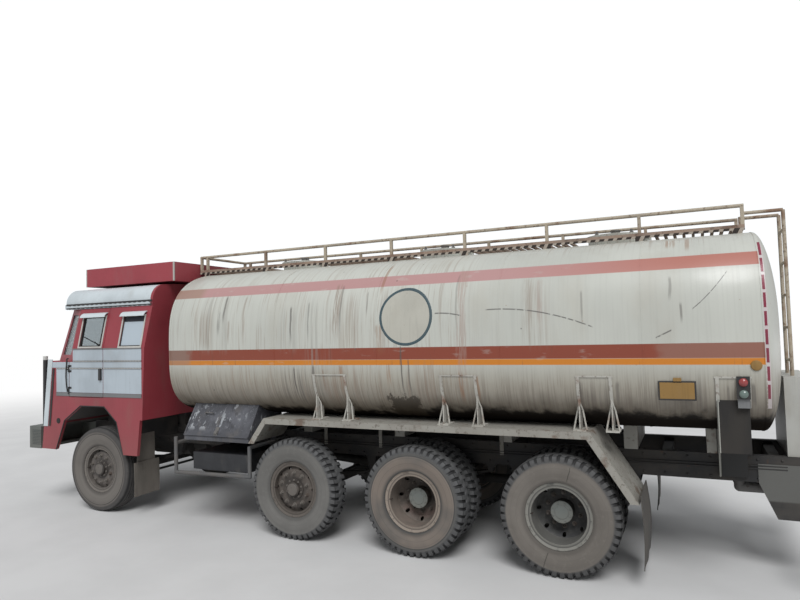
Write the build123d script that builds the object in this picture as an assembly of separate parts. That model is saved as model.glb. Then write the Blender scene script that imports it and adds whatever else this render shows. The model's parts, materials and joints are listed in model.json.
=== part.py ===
from build123d import *
import os
from math import asin, cos, radians, sin, sqrt

os.makedirs("parts", exist_ok=True)

# Four-axle road tanker. Millimetres, +X forward, +Y left, +Z up, ground at Z = 0.
# Stations along X are measured from the front axle; save() then moves every piece so
# that the middle of the truck's length is at X = 0.

# Overall layout
front_overhang = 1270
rear_overhang = 2100
overall_half = 1220
axle_gaps = (2970, 1390, 1390)
clearance = 0.3
moving_gap = 6

second_axle = -axle_gaps[0]
third_axle = second_axle - axle_gaps[1]
fourth_axle = third_axle - axle_gaps[2]
rear_end = fourth_axle - rear_overhang
middle_x = (front_overhang + rear_end) / 2

# Tyres and rims, 10.00-20
tyre_radius = 527.5
tyre_width = 275
tread_width = 214
crown_drop = 12
crown_edge = 26
shoulder_drop = 62
bulge_drop = 125
tread_lugs = 28
lug_gap_share = 0.42
lug_gap_reach = 58
lug_gap_drop = 52
rib_grooves = (-58, -20, 20, 58)
groove_size = (8, 10)
bead_radius = 255
flange_radius = 292
rim_width = 200
rim_wall = 14
flange_thickness = 12
twin_spacing = 325
front_wheel_inset = 60
second_wheel_inset = 32.5
twin_wheel_inset = 20
front_wheel_y = overall_half - tyre_width / 2 - front_wheel_inset
second_wheel_y = overall_half - tyre_width / 2 - second_wheel_inset
twin_wheel_y = overall_half - tyre_width / 2 - twin_wheel_inset
wheel_z = tyre_radius
disc_thickness = 14
hand_hole_circle = 221
single_hand_holes = (10, 16)
twin_hand_holes = (8, 18)
hub_radius = 110
hub_cap_radius = 75
drum_radius = 200
spindle_radius = 41
spindle_bore = 42
axle_tube_radius = 60
axle_bore = 62
twin_cap_radius = 95

# Steering
kingpin_inset = 162.5
kingpin_y = front_wheel_y - kingpin_inset
kingpin_radius = 19
eye_radius = 45
eye_half_height = 62
lug_height = 58
steering_arm = 200
arm_thickness = 26
arm_width = 40
tie_rod_radius = 16

# Frame
rail_outer_y = 450
rail_height = 230
rail_top = 1010
rail_flange = 65
rail_wall = 8
rail_bottom = rail_top - rail_height
cross_member_stations = (700, -1770, -2300, -3650, -5055, -6600, -7480)
cross_member_width = 90

# Springs
leaf_width = 72
leaf_thickness = 18
leaf_steps = (1.0, 0.8, 0.58, 0.36)
spring_radius = 3600
front_spring_half = 700
rear_spring_half = 590
spring_y = 412
spring_eye = 30
hanger_half = 62

# Cab
cab_half_width = overall_half
cab_wall = 40
eaves_lean = 113
roof_corner = 207
cab_eaves_half = cab_half_width - eaves_lean
cab_roof_half = cab_eaves_half - roof_corner
skirt_z = 750
back_bottom_z = 1180
cab_floor_z = 1340
cab_floor_thickness = 40
door_bottom_z = 1440
cowl_z = 1900
belt_z = 2050
eaves_z = 2570
roof_edge_z = eaves_z + 265
roof_crown_z = roof_edge_z + 40
above_roof = roof_crown_z + 125
nose_bottom_x = 985
nose_top_x = 860
screen_top_x = 680
screen_corner_inset = (160, 127)
screen_corner_y = (cab_half_width - screen_corner_inset[0], cab_eaves_half - screen_corner_inset[1])
roof_front_x = 660
back_x = (-840, -920)
skirt_back_x = -750
door_front_x = 450
door_rear_x = -172
pillar_x = (405, 362)
door_window = (-125, 277, belt_z + 30, eaves_z - 120)
rear_window = (-810, -450, belt_z + 25, eaves_z - 125)
pane_inset = 14
pane_thickness = 6
door_opening_angle = 70
visor_size = (52, 60, 5)
visor_overlap = 26
roof_lip = 10
roof_lip_z = (eaves_z + moving_gap, eaves_z + 64)

# Tank
tank_side_inset = 10
tank_half_width = overall_half - tank_side_inset
tank_half_height = 870
tank_z = 2100
tank_front = -1300
tank_rear = -7350
head_depth = 220
knuckle_depth = 60

# Walkway and railing
walkway_half = 450
walkway_z = 3030
walkway_edge = 50
walkway_wall = 6
slat_pitch = 80
slat_width = 26
slat_height = 30
rail_z = 3200
rail_radius = 17
post_size = 30
walkway_front = -1060
first_bay = 1050
later_bays = 6
bay = 870
walkway_rear = walkway_front - first_bay - later_bays * bay

# Manholes
manhole_stations = (-2400, -4330, -6200)
collar_radius = 270
collar_wall = 12
collar_top = 3052
lid_radius = 290
lid_thickness = 24
lid_rise = 10
lid_hinge_gap = 34
manhole_window = 360

# Mudguards and flaps
guard_front = (-2430, 990)
guard_front_top = -2640
guard_rear_top = -6050
guard_rear = (-6420, 700)
guard_top_z = 1270
guard_inner_y = 590
guard_outer_y = overall_half
guard_sheet = 8
guard_lip = 60
guard_lip_wall = 14

# Toolbox
toolbox_x = (-2420, -1490)
toolbox_bottom = 985
toolbox_sill = 1030
toolbox_top = 1450
toolbox_inner_y = 600
toolbox_outer_y = overall_half - 20
toolbox_lid_top_y = toolbox_outer_y - 254
toolbox_wall = 12
lid_sheet = 12


def block(x0, x1, y0, y1, z0, z1):
    size = Box(abs(x1 - x0), abs(y1 - y0), abs(z1 - z0))
    return Pos((x0 + x1) / 2, (y0 + y1) / 2, (z0 + z1) / 2) * size


def rod(start, end, radius):
    axis = Vector(*end) - Vector(*start)
    low = (Align.CENTER, Align.CENTER, Align.MIN)
    return Plane(origin=start, z_dir=axis) * Cylinder(radius, axis.length, align=low)


def outline(points):
    return make_face(Polyline(*points, close=True))


def across(face, y0, y1):
    """Pushes an outline drawn in X and Z from y0 to y1."""
    return extrude(Plane((0, y1, 0), (1, 0, 0), (0, -1, 0)) * face, y1 - y0)


def along(face, x0, x1):
    """Pushes an outline drawn in Y and Z from x0 to x1."""
    return extrude(Plane((x0, 0, 0), (0, 1, 0), (1, 0, 0)) * face, x1 - x0)


def upward(face, z0, z1):
    """Pushes an outline drawn in X and Y from z0 to z1."""
    return extrude(Plane((0, 0, z0)) * face, z1 - z0)


def turned(points):
    """Turns an outline of (outward, radius) points about the Y axis."""
    face = Plane((0, 0, 0), (0, 1, 0), (1, 0, 0)) * outline(points)
    return revolve(face, Axis.Y)


def other_side(shape):
    return mirror(shape, about=Plane.XZ)


def save(name, *shapes):
    solids = [solid for shape in shapes for solid in shape.solids()]
    placed = [Pos(-middle_x, 0, 0) * solid for solid in solids]
    whole = placed[0] if len(placed) == 1 else Compound(children=placed)
    export_step(whole, f"parts/{name}.step")


# Wheels

def tyre_body():
    """A tyre about the Y axis, its sidewalls bulged and its tread slightly crowned."""
    half = tyre_width / 2
    tread = tread_width / 2
    grip = rim_width / 2 - flange_thickness - 1
    foot = bead_radius + clearance
    flank = [
        Line((grip, foot), (grip, flange_radius + 2)),
        Line((grip, flange_radius + 2), (half - 22, flange_radius + 2)),
        ThreePointArc((half - 22, flange_radius + 2), (half, tyre_radius - bulge_drop),
                      (half - 7, tyre_radius - shoulder_drop)),
        Line((half - 7, tyre_radius - shoulder_drop), (tread, tyre_radius - crown_drop)),
    ]
    flank.append(Line((tread, tyre_radius - crown_drop), (tread - crown_edge, tyre_radius)))
    crown = Line((tread - crown_edge, tyre_radius), (crown_edge - tread, tyre_radius))
    mirrored = [mirror(edge, about=Plane.YZ) for edge in flank]
    section = make_face(Curve() + flank + [crown] + mirrored + [Line((-grip, foot), (grip, foot))])
    return revolve(Plane((0, 0, 0), (0, 1, 0), (1, 0, 0)) * section, Axis.Y)


def lugged_tyre():
    """The driven axles' tyre: gaps that deepen outwards leave lugs along both shoulders."""
    tread = tread_width / 2
    half = tyre_width / 2
    pitch = 360 / tread_lugs
    gap = 2 * tyre_radius * sin(radians(pitch / 2)) * lug_gap_share
    wedge_outline = outline([(tread - lug_gap_reach, tyre_radius + 1), (half + 2, tyre_radius - lug_gap_drop),
                             (half + 2, tyre_radius + 10), (tread - lug_gap_reach, tyre_radius + 10)])
    wedge = extrude(Plane((-gap / 2, 0, 0), (0, 1, 0), (1, 0, 0)) * wedge_outline, gap)
    gaps = []
    for row in range(tread_lugs):
        for side in (1, -1):
            turn = (row + 0.25 * side) * pitch
            gaps.append(Rot(0, turn, 0) * (wedge if side == 1 else other_side(wedge)))
    return tyre_body() - gaps


def ribbed_tyre():
    """The steered axle's tyre, with four grooves round the tread."""
    width, depth = groove_size
    shape = tyre_body()
    for middle in rib_grooves:
        low = tyre_radius - depth
        shape -= turned([(middle - width / 2, low), (middle - width / 2, tyre_radius + 1),
                         (middle + width / 2, tyre_radius + 1), (middle + width / 2, low)])
    return shape


def barrel(middle):
    edge = rim_width / 2
    seat = edge - flange_thickness
    inner = bead_radius - rim_wall
    return turned([
        (middle - edge, inner), (middle - edge, flange_radius), (middle - seat, flange_radius),
        (middle - seat, bead_radius), (middle + seat, bead_radius), (middle + seat, flange_radius),
        (middle + edge, flange_radius), (middle + edge, inner),
    ])


single_disc = 80
single_drum_inner = -85
single_bore_end = 60


def hand_holes(count, radius, y0, y1):
    """Round holes through a wheel disc, on a circle outside its nuts."""
    holes = []
    for number in range(count):
        angle = radians(360 * number / count)
        x, z = hand_hole_circle * cos(angle), hand_hole_circle * sin(angle)
        holes.append(rod((x, y0, z), (x, y1, z), radius))
    return holes


def single_rim():
    inner = bead_radius - rim_wall
    back = single_disc - disc_thickness
    disc = turned([
        (back, hub_radius - 5), (back, 188), (back - 30, inner + 2),
        (single_disc - 28, inner + 2), (single_disc, 192), (single_disc, hub_radius - 5),
    ]) - hand_holes(*single_hand_holes, back - 40, single_disc + 5)
    hub = turned([
        (single_drum_inner, spindle_bore), (single_drum_inner, drum_radius),
        (single_drum_inner + 90, drum_radius), (single_drum_inner + 90, hub_radius),
        (single_disc + 8, hub_radius), (single_disc + 8, hub_cap_radius),
        (118, hub_cap_radius), (128, hub_cap_radius - 12), (128, 0),
        (single_bore_end, 0), (single_bore_end, spindle_bore),
    ])
    return barrel(0) + disc + hub


twin_disc = -twin_spacing / 2
twin_bore_end = twin_disc - 8


def twin_rim():
    inner = bead_radius - rim_wall + 2
    edge = rim_width / 2
    shape = barrel(0) + barrel(-twin_spacing)
    for way in (1, -1):
        shape += turned([
            (twin_disc + way * (twin_spacing / 2 - edge + 16), inner),
            (twin_disc + way * disc_thickness, 196), (twin_disc, 196),
            (twin_disc + way * (twin_spacing / 2 - edge), inner),
        ])
    shape += turned([
        (twin_disc - disc_thickness, 60), (twin_disc - disc_thickness, 196),
        (twin_disc + disc_thickness, 196), (twin_disc + disc_thickness, 60),
    ]) - turned([
        (twin_disc - disc_thickness - 1, 0), (twin_disc - disc_thickness - 1, axle_bore),
        (twin_bore_end, axle_bore), (twin_bore_end, 0),
    ])
    shape += turned([
        (-420, axle_bore), (-420, drum_radius), (-195, drum_radius), (-195, hub_radius),
        (twin_disc, hub_radius), (twin_disc, twin_cap_radius), (-45, twin_cap_radius),
        (-35, twin_cap_radius - 10), (-35, 0), (twin_bore_end, 0), (twin_bore_end, axle_bore),
    ])
    return shape - hand_holes(*twin_hand_holes, twin_disc - 100, twin_disc + 100)


# name, station, outer tyre's middle, twin
wheel_table = (
    ("front", 0, front_wheel_y, False),
    ("second", second_axle, second_wheel_y, False),
    ("third", third_axle, twin_wheel_y, True),
    ("fourth", fourth_axle, twin_wheel_y, True),
)
rims = {False: single_rim(), True: twin_rim()}
lugged = lugged_tyre()
ribbed = ribbed_tyre()
for wheel, station, wheel_y, twin in wheel_table:
    place = Pos(station, wheel_y, wheel_z)
    rim = place * rims[twin]
    tyre = ribbed if wheel == "front" else lugged
    tyres = [place * tyre]
    if twin:
        tyres.append(place * Pos(0, -twin_spacing, 0) * tyre)
    save(f"{wheel}_rim_left", rim)
    save(f"{wheel}_rim_right", other_side(rim))
    save(f"{wheel}_tyre_left", *tyres)
    save(f"{wheel}_tyre_right", *[other_side(piece) for piece in tyres])

# Front axle, knuckles and tie rod

eye_low = wheel_z - eye_half_height
eye_high = wheel_z + eye_half_height
lug_low = eye_low - clearance - lug_height
lug_high = eye_high + clearance + lug_height
beam_half = 45
beam_low = 400
beam_deep = 100
spring_seat_z = beam_low + beam_deep


def dropped_beam(end_y, low, high):
    """A beam with a low middle between spring seats and raised ends."""
    seat = spring_y + 90
    rise = end_y - 80
    return along(outline([
        (-end_y, low), (-rise, low), (-seat, beam_low), (seat, beam_low), (rise, low),
        (end_y, low), (end_y, high), (rise, high), (seat, spring_seat_z),
        (-seat, spring_seat_z), (-rise, high), (-end_y, high),
    ]), -beam_half, beam_half)


front_beam = dropped_beam(kingpin_y - 15, eye_low, eye_high)
for side in (1, -1):
    low_point = (0, side * kingpin_y, eye_low)
    high_point = (0, side * kingpin_y, eye_high)
    front_beam += rod(low_point, high_point, eye_radius)
for side in (1, -1):
    front_beam -= rod((0, side * kingpin_y, eye_low - 1), (0, side * kingpin_y, eye_high + 1),
                      kingpin_radius + 1)
save("front_axle", front_beam)

knuckle_plate_y = front_wheel_y + single_drum_inner - moving_gap
spindle_end_y = front_wheel_y + single_bore_end - clearance
arm_z = lug_low + arm_thickness / 2
knuckle = rod((0, kingpin_y, lug_low), (0, kingpin_y, lug_high), kingpin_radius)
for low, high in ((lug_low, eye_low - clearance), (eye_high + clearance, lug_high)):
    knuckle += rod((0, kingpin_y, low), (0, kingpin_y, high), eye_radius)
    knuckle += block(-eye_radius, eye_radius, kingpin_y, knuckle_plate_y, low, high)
knuckle += block(-eye_radius, eye_radius, kingpin_y + eye_radius + 3, knuckle_plate_y, lug_low, lug_high)
knuckle += rod((0, knuckle_plate_y - 5, wheel_z), (0, spindle_end_y, wheel_z), spindle_radius)
knuckle += block(-steering_arm, 0, kingpin_y - arm_width / 2, kingpin_y + arm_width / 2,
                 lug_low, lug_low + arm_thickness)
knuckle += rod((-steering_arm, kingpin_y, lug_low), (-steering_arm, kingpin_y, lug_low + arm_thickness),
               arm_width / 2 + 4)
save("knuckle_left", knuckle)
save("knuckle_right", other_side(knuckle))

tie_eye_top = lug_low - clearance
tie_rod_z = tie_eye_top - tie_rod_radius - 6
tie_rod = rod((-steering_arm, -kingpin_y, tie_rod_z), (-steering_arm, kingpin_y, tie_rod_z), tie_rod_radius)
for side in (1, -1):
    tie_rod += rod((-steering_arm, side * kingpin_y, tie_rod_z - tie_rod_radius - 6),
                   (-steering_arm, side * kingpin_y, tie_eye_top), arm_width / 2 + 4)
save("tie_rod", tie_rod)

# Second axle, a dropped dead beam, and the two driven axles with their final drives

second_spindle_end = second_wheel_y + single_bore_end - clearance
second_beam_end = second_wheel_y + single_drum_inner - moving_gap
second_beam = dropped_beam(second_beam_end, wheel_z - 60, wheel_z + 60)
for side in (1, -1):
    second_beam += rod((0, side * (second_beam_end - 10), wheel_z), (0, side * second_spindle_end, wheel_z),
                       spindle_radius)
second_beam = Pos(second_axle, 0, 0) * second_beam

axle_end_y = twin_wheel_y + twin_bore_end - clearance
final_drive_radius = 195
final_drive_half = 110
pinion_reach = 300
pinion_radius = 70
rear_seat_z = wheel_z + axle_tube_radius + 12


def driven_axle(station, through_pinion):
    """A banjo housing that tapers into the axle tubes, with its pinion noses and spring pads."""
    pad_edge = spring_y - leaf_width / 2
    neck = final_drive_half + 0.62 * (pad_edge - final_drive_half)
    half = [(axle_end_y, 0), (axle_end_y, axle_tube_radius), (pad_edge, axle_tube_radius),
            (neck, axle_tube_radius + 22), (final_drive_half, final_drive_radius - 40),
            (final_drive_half - 55, final_drive_radius)]
    housing = turned(half + [(-y, radius) for y, radius in reversed(half)])
    shape = Pos(station, 0, wheel_z) * housing
    noses = (1, -1) if through_pinion else (1,)
    for way in noses:
        shape += rod((station, 0, wheel_z), (station + way * pinion_reach, 0, wheel_z), pinion_radius)
        shape += rod((station, 0, wheel_z), (station + way * (final_drive_radius + 35), 0, wheel_z), pinion_radius + 40)
    for side in (1, -1):
        y = side * spring_y
        shape += block(station - 90, station + 90, y - leaf_width / 2, y + leaf_width / 2, wheel_z, rear_seat_z)
    return shape


save("rear_axles", second_beam, driven_axle(third_axle, True), driven_axle(fourth_axle, False))

# Leaf springs with their hangers


def leaf_spring(station, side, seat_z, half):
    """A pack of concentric leaves; the longest lies on top and its ends hang from the frame."""
    pack_radius = spring_radius + leaf_thickness * len(leaf_steps)
    centre_z = seat_z + pack_radius
    shape = None
    for row, step in enumerate(leaf_steps):
        inner = spring_radius + row * leaf_thickness
        reach = asin(half * step / inner)

        def point(radius, angle):
            return (station + radius * sin(angle), centre_z - radius * cos(angle))

        outer = inner + leaf_thickness
        edges = Curve() + [
            ThreePointArc(point(inner, -reach), point(inner, 0), point(inner, reach)),
            Line(point(inner, reach), point(outer, reach)),
            ThreePointArc(point(outer, reach), point(outer, 0), point(outer, -reach)),
            Line(point(outer, -reach), point(inner, -reach)),
        ]
        leaf = across(make_face(edges), side * spring_y - leaf_width / 2, side * spring_y + leaf_width / 2)
        shape = leaf if shape is None else shape + leaf
    end_z = centre_z - spring_radius * cos(asin(half / spring_radius))
    for way in (1, -1):
        x = station + way * (half - 25)
        y0 = side * spring_y - leaf_width / 2
        y1 = side * spring_y + leaf_width / 2
        eye_z = end_z + spring_eye - leaf_thickness
        bracket = outline([(x - spring_eye * 0.8, eye_z), (x + spring_eye * 0.8, eye_z),
                           (x + hanger_half, rail_bottom), (x - hanger_half, rail_bottom)])
        shape += across(bracket, y0, y1) + rod((x, y0, eye_z), (x, y1, eye_z), spring_eye)
    return shape


springs = []
for station, seat_z, half in (
    (0, spring_seat_z, front_spring_half),
    (second_axle, spring_seat_z, rear_spring_half),
    (third_axle, rear_seat_z, rear_spring_half),
    (fourth_axle, rear_seat_z, rear_spring_half),
):
    for side in (1, -1):
        springs.append(leaf_spring(station, side, seat_z, half))
save("leaf_springs", *springs)

# Frame: two channel rails and their cross members

rail_front = 930
lamp_depth = 25
rear_beam_depth = 50
frame_rear = rear_end + lamp_depth + rear_beam_depth
web_inner = rail_outer_y - rail_wall
flange_inner = rail_outer_y - rail_flange
channel = outline([
    (flange_inner, rail_bottom), (rail_outer_y, rail_bottom), (rail_outer_y, rail_top),
    (flange_inner, rail_top), (flange_inner, rail_top - rail_wall), (web_inner, rail_top - rail_wall),
    (web_inner, rail_bottom + rail_wall), (flange_inner, rail_bottom + rail_wall),
])
left_rail = along(channel, frame_rear + rail_wall, rail_front)
frame = left_rail + other_side(left_rail)
for station in cross_member_stations:
    frame += block(station - cross_member_width / 2, station + cross_member_width / 2,
                   -web_inner, web_inner, rail_bottom + 40, rail_top - 40)
frame += block(frame_rear, frame_rear + rail_wall, -rail_outer_y, rail_outer_y, rail_bottom, rail_top)
mount_stations = (620, -720)
for station in mount_stations:
    for side in (1, -1):
        y = side * (rail_outer_y - rail_flange / 2)
        frame += block(station - 50, station + 50, y - 32, y + 32, rail_top - 5, cab_floor_z)
front_flap_x = -640
flap_outer_y = cab_half_width - 45
flap_bracket = block(front_flap_x + clearance, front_flap_x + 10, rail_outer_y - rail_wall, flap_outer_y, 900, 1170)
frame += flap_bracket + other_side(flap_bracket)
save("chassis_frame", frame)

# Engine, gearbox and shafts

engine_x = (-700, 480)
engine_half = 330
engine_z = (590, 1200)
engine = block(*engine_x, -engine_half, engine_half, *engine_z)
engine = chamfer(engine.edges().filter_by(Axis.X), 60)
engine -= block(0 - 60, 60, -engine_half, engine_half, engine_z[0] - 1, engine_z[0] + 10)
for side in (1, -1):
    engine += block(-300, -180, side * (engine_half - 5), side * web_inner, 850, 900)
    engine += block(250, 370, side * (engine_half - 5), side * web_inner, 850, 900)
save("engine", engine)

gearbox_rear = -1350
shaft_z = 760
shaft_radius = 50
third_pinion = third_axle + pinion_reach
gearbox_bell = rod((engine_x[0], 0, shaft_z), (engine_x[0] - 220, 0, shaft_z), 240)
gearbox = gearbox_bell + rod((engine_x[0] - 220, 0, shaft_z), (gearbox_rear, 0, shaft_z), 160)
gearbox += rod((gearbox_rear, 0, shaft_z), (gearbox_rear - 60, 0, shaft_z), 75)
main_shaft = rod((gearbox_rear - 40, 0, shaft_z), (third_pinion + 60, 0, wheel_z + 18), shaft_radius)
main_shaft += rod((third_pinion + clearance, 0, wheel_z), (third_pinion + 70, 0, wheel_z), pinion_radius)
link_front = third_axle - pinion_reach - clearance
link_rear = fourth_axle + pinion_reach + clearance
link_shaft = rod((link_front, 0, wheel_z), (link_rear, 0, wheel_z), shaft_radius)
for x0, x1 in ((link_front, link_front - 60), (link_rear + 60, link_rear)):
    link_shaft += rod((x0, 0, wheel_z), (x1, 0, wheel_z), pinion_radius)
save("driveline", gearbox + main_shaft, link_shaft)

silencer_y = -560
silencer_z = 640
silencer_x = (-1270, -880)
silencer_radius = 105
exhaust_radius = 35
tail_pipe_x = -1345
tail_pipe_y = -1060
exhaust_route = ((engine_x[0], -300, 690), (-790, -300, 690), (silencer_x[1], silencer_y, silencer_z),
                 (tail_pipe_x, silencer_y, silencer_z), (tail_pipe_x, tail_pipe_y, silencer_z - 30))
exhaust = rod((silencer_x[1], silencer_y, silencer_z), (silencer_x[0], silencer_y, silencer_z), silencer_radius)
for start, end in zip(exhaust_route, exhaust_route[1:]):
    exhaust += rod(start, end, exhaust_radius)
for corner in exhaust_route[1:-1]:
    exhaust += Pos(*corner) * Sphere(exhaust_radius)
exhaust += block(-1100, -1060, silencer_y - 20, -rail_outer_y, rail_bottom + 20, rail_bottom + 60)
exhaust += block(-1100, -1060, silencer_y - 20, silencer_y + 20, silencer_z, rail_bottom + 40)
save("exhaust", exhaust)

# Cab: one section, cut into panels
wide_y = cab_half_width + 50


def cab_section(inset):
    low = skirt_z - 50
    wide = cab_half_width - inset
    eaves = cab_eaves_half - inset
    roof = cab_roof_half - 0.4 * inset
    edge_z = roof_edge_z - inset
    crown_z = roof_crown_z - inset
    corner = (roof + 0.72 * (eaves - roof), eaves_z + 70 + 0.72 * (edge_z - eaves_z - 70))
    half = [
        Line((wide, low), (wide, belt_z)), Line((wide, belt_z), (eaves, eaves_z)),
        Line((eaves, eaves_z), (eaves, eaves_z + 70)),
        ThreePointArc((eaves, eaves_z + 70), corner, (roof, edge_z)),
    ]
    mirrored = [mirror(edge, about=Plane.YZ) for edge in half]
    closing = [ThreePointArc((roof, edge_z), (0, crown_z), (-roof, edge_z)), Line((-wide, low), (wide, low))]
    return make_face(Curve() + half + mirrored + closing)


def back_at(z):
    """X of the back wall's outer face at height z."""
    return back_x[0] + (back_x[1] - back_x[0]) * (z - back_bottom_z) / (roof_crown_z - back_bottom_z)


def nose_at(z):
    """X of the nose panel's outer face at height z."""
    return nose_bottom_x + (nose_top_x - nose_bottom_x) * (z - skirt_z) / (cowl_z - skirt_z)


def window(bounds):
    x0, x1, z0, z1 = bounds
    return across(outline([(x0, z0), (x1, z0), (x1, z1), (x0, z1)]), -wide_y, wide_y)


cab_outer = along(cab_section(0), back_x[1] - 60, nose_bottom_x + 60)
cab_inner = along(cab_section(cab_wall), back_x[1] - 60, nose_bottom_x + 60)
cab_shell = cab_outer - cab_inner

ledge_z = cowl_z - 30
arch = [(712, skirt_z), (550, 1130), (250, 1325), (-185, 1325), (-400, 1143), (-510, skirt_z)]
side_outline = [(skirt_back_x, skirt_z), (back_at(back_bottom_z) + cab_wall, back_bottom_z),
                (back_at(eaves_z) + cab_wall, eaves_z), (door_rear_x, eaves_z), (door_rear_x, ledge_z),
                (nose_at(ledge_z) - cab_wall, ledge_z), (nose_at(skirt_z) - cab_wall, skirt_z)] + arch


def door_outline(grow):
    return [
        (door_rear_x - grow, door_bottom_z - grow), (door_front_x + grow, door_bottom_z - grow),
        (door_front_x + grow, cowl_z - 20), (pillar_x[0] + grow, cowl_z), (pillar_x[1] + grow, eaves_z - moving_gap + grow),
        (door_rear_x - grow, eaves_z - moving_gap + grow),
    ]


side_zone = across(outline(side_outline), -wide_y, wide_y)
door_hole = across(outline(door_outline(moving_gap)), -wide_y, wide_y)
door_zone = across(outline(door_outline(0)), -wide_y, wide_y)
left_half = block(-5000, 5000, 0, 2000, 0, 4000)

# Door hinges: a fixed barrel between two door barrels
hinge_radius = 9
hinge_leaf = 6
hinge_x = door_front_x + moving_gap / 2
hinge_y = cab_half_width + hinge_radius + 2
hinge_heights = (1520, 1800)
hinge_fixed_half = 20
hinge_door_length = 26


def hinge(z, x_far, z0, z1):
    barrel_piece = rod((hinge_x, hinge_y, z + z0), (hinge_x, hinge_y, z + z1), hinge_radius)
    leaf = block(hinge_x, x_far, cab_half_width - 2, cab_half_width + hinge_leaf, z + z0, z + z1)
    return barrel_piece + leaf


def side_at(z):
    """Y of the cab's side at height z, between the belt and the eaves."""
    return cab_half_width - eaves_lean * (z - belt_z) / (eaves_z - belt_z)


def visor(bounds):
    """A small hood over a side window, curved down and outwards."""
    x0, x1, _, z1 = bounds
    depth, drop, sheet = visor_size
    root = side_at(z1 + drop) - 4
    tip = side_at(z1) + depth
    bend = root + 0.62 * (tip - root)
    edges = Curve() + [
        ThreePointArc((root, z1 + drop), (bend, z1 + 0.68 * drop), (tip, z1)),
        Line((tip, z1), (tip - sheet, z1)),
        ThreePointArc((tip - sheet, z1), (bend - sheet, z1 + 0.68 * drop - sheet), (root, z1 + drop - 2 * sheet)),
        Line((root, z1 + drop - 2 * sheet), (root, z1 + drop)),
    ]
    return along(make_face(edges), x0 - visor_overlap, x1 + visor_overlap)


left_side = (cab_shell & side_zone & left_half) - door_hole - window(rear_window)
for z in hinge_heights:
    left_side += hinge(z, hinge_x + 45, -hinge_fixed_half, hinge_fixed_half)
left_side += visor(rear_window)
save("cab_sides", left_side, other_side(left_side))

left_door = (cab_shell & door_zone & left_half) - window(door_window)
for z in hinge_heights:
    top = hinge_fixed_half + clearance
    left_door += hinge(z, hinge_x - 45, top, top + hinge_door_length)
    left_door += hinge(z, hinge_x - 45, -top - hinge_door_length, -top)
left_door += visor(door_window)
handle_x = (door_rear_x + 20, door_rear_x + 60)
left_door += block(*handle_x, cab_half_width - 2, cab_half_width + 26, 1655, 1800)
save("door_left", left_door)
save("door_right", other_side(left_door))

back_strip = across(outline([
    (back_at(back_bottom_z), back_bottom_z), (back_at(back_bottom_z) + cab_wall, back_bottom_z),
    (back_at(above_roof) + cab_wall, above_roof), (back_at(above_roof), above_roof),
]), -wide_y, wide_y)
save("cab_back", cab_outer & back_strip)

roof_strip = across(outline([
    (back_at(eaves_z) + cab_wall, eaves_z), (roof_front_x, eaves_z), (roof_front_x, above_roof),
    (back_at(above_roof) + cab_wall, above_roof),
]), -wide_y, wide_y)
header_strip = block(roof_front_x - cab_wall, roof_front_x, -wide_y, wide_y, eaves_z, above_roof)
lip_outer = cab_eaves_half + roof_lip
lip = block(back_at(eaves_z) + cab_wall, roof_front_x + roof_lip, -lip_outer, lip_outer, *roof_lip_z)
lip -= block(back_at(eaves_z), roof_front_x - 5, -cab_eaves_half + 5, cab_eaves_half - 5, roof_lip_z[0] - 1, roof_lip_z[1] + 1)
save("cab_roof", (cab_shell & roof_strip) + (cab_outer & header_strip) + lip)

floor_plate = block(back_at(cab_floor_z) + cab_wall, nose_at(cab_floor_z) - cab_wall - 8,
                    -cab_half_width + cab_wall, cab_half_width - cab_wall,
                    cab_floor_z, cab_floor_z + cab_floor_thickness)
hump_half = 380
hump_top = cab_floor_z + 200
floor_plate += block(-500, 560, -hump_half, hump_half, cab_floor_z, hump_top)
floor_plate -= block(-470, 530, -hump_half + 30, hump_half - 30, cab_floor_z - 1, hump_top - 30)

# Wheel arch liners hang from the floor over the front wheels
liner_front = ((270, cab_floor_z + 1), (566, 1120))
liner_rear = ((-200, cab_floor_z + 1), (-415, 1120))
liner_y = (552, cab_half_width - cab_wall - 2)
liner_sheet = 8
for top, foot in (liner_front, liner_rear):
    slope = outline([top, (top[0] - liner_sheet, top[1]), (foot[0] - liner_sheet, foot[1]), foot])
    floor_plate += across(slope, *liner_y)
    floor_plate += across(slope, -liner_y[1], -liner_y[0])
liner_wall = outline([liner_rear[0], liner_front[0], liner_front[1], liner_rear[1]])
floor_plate += across(liner_wall, liner_y[0], liner_y[0] + liner_sheet)
floor_plate += across(liner_wall, -liner_y[0] - liner_sheet, -liner_y[0])

# Nose, cowl ledge and windscreen frame
screen_rear = (pillar_x[0] + moving_gap, pillar_x[1] + moving_gap)


def screen_form(inset, reach_back):
    """The windscreen frame as a loft from the cowl to the eaves, with slanted corners."""
    rings = []
    for z, row in ((cowl_z, 0), (eaves_z, 1)):
        wide = (cab_half_width, cab_eaves_half)[row] - inset
        corner_x = (nose_top_x, screen_top_x)[row] - inset
        corner_y = screen_corner_y[row] - 0.75 * inset
        rear_x = screen_rear[row] - reach_back
        wide_at_cowl = wide
        rings.append(Plane((0, 0, z)) * outline([
            (rear_x, wide_at_cowl), (corner_x, corner_y), (corner_x, -corner_y), (rear_x, -wide_at_cowl),
        ]))
    return loft(rings, ruled=True)


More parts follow.
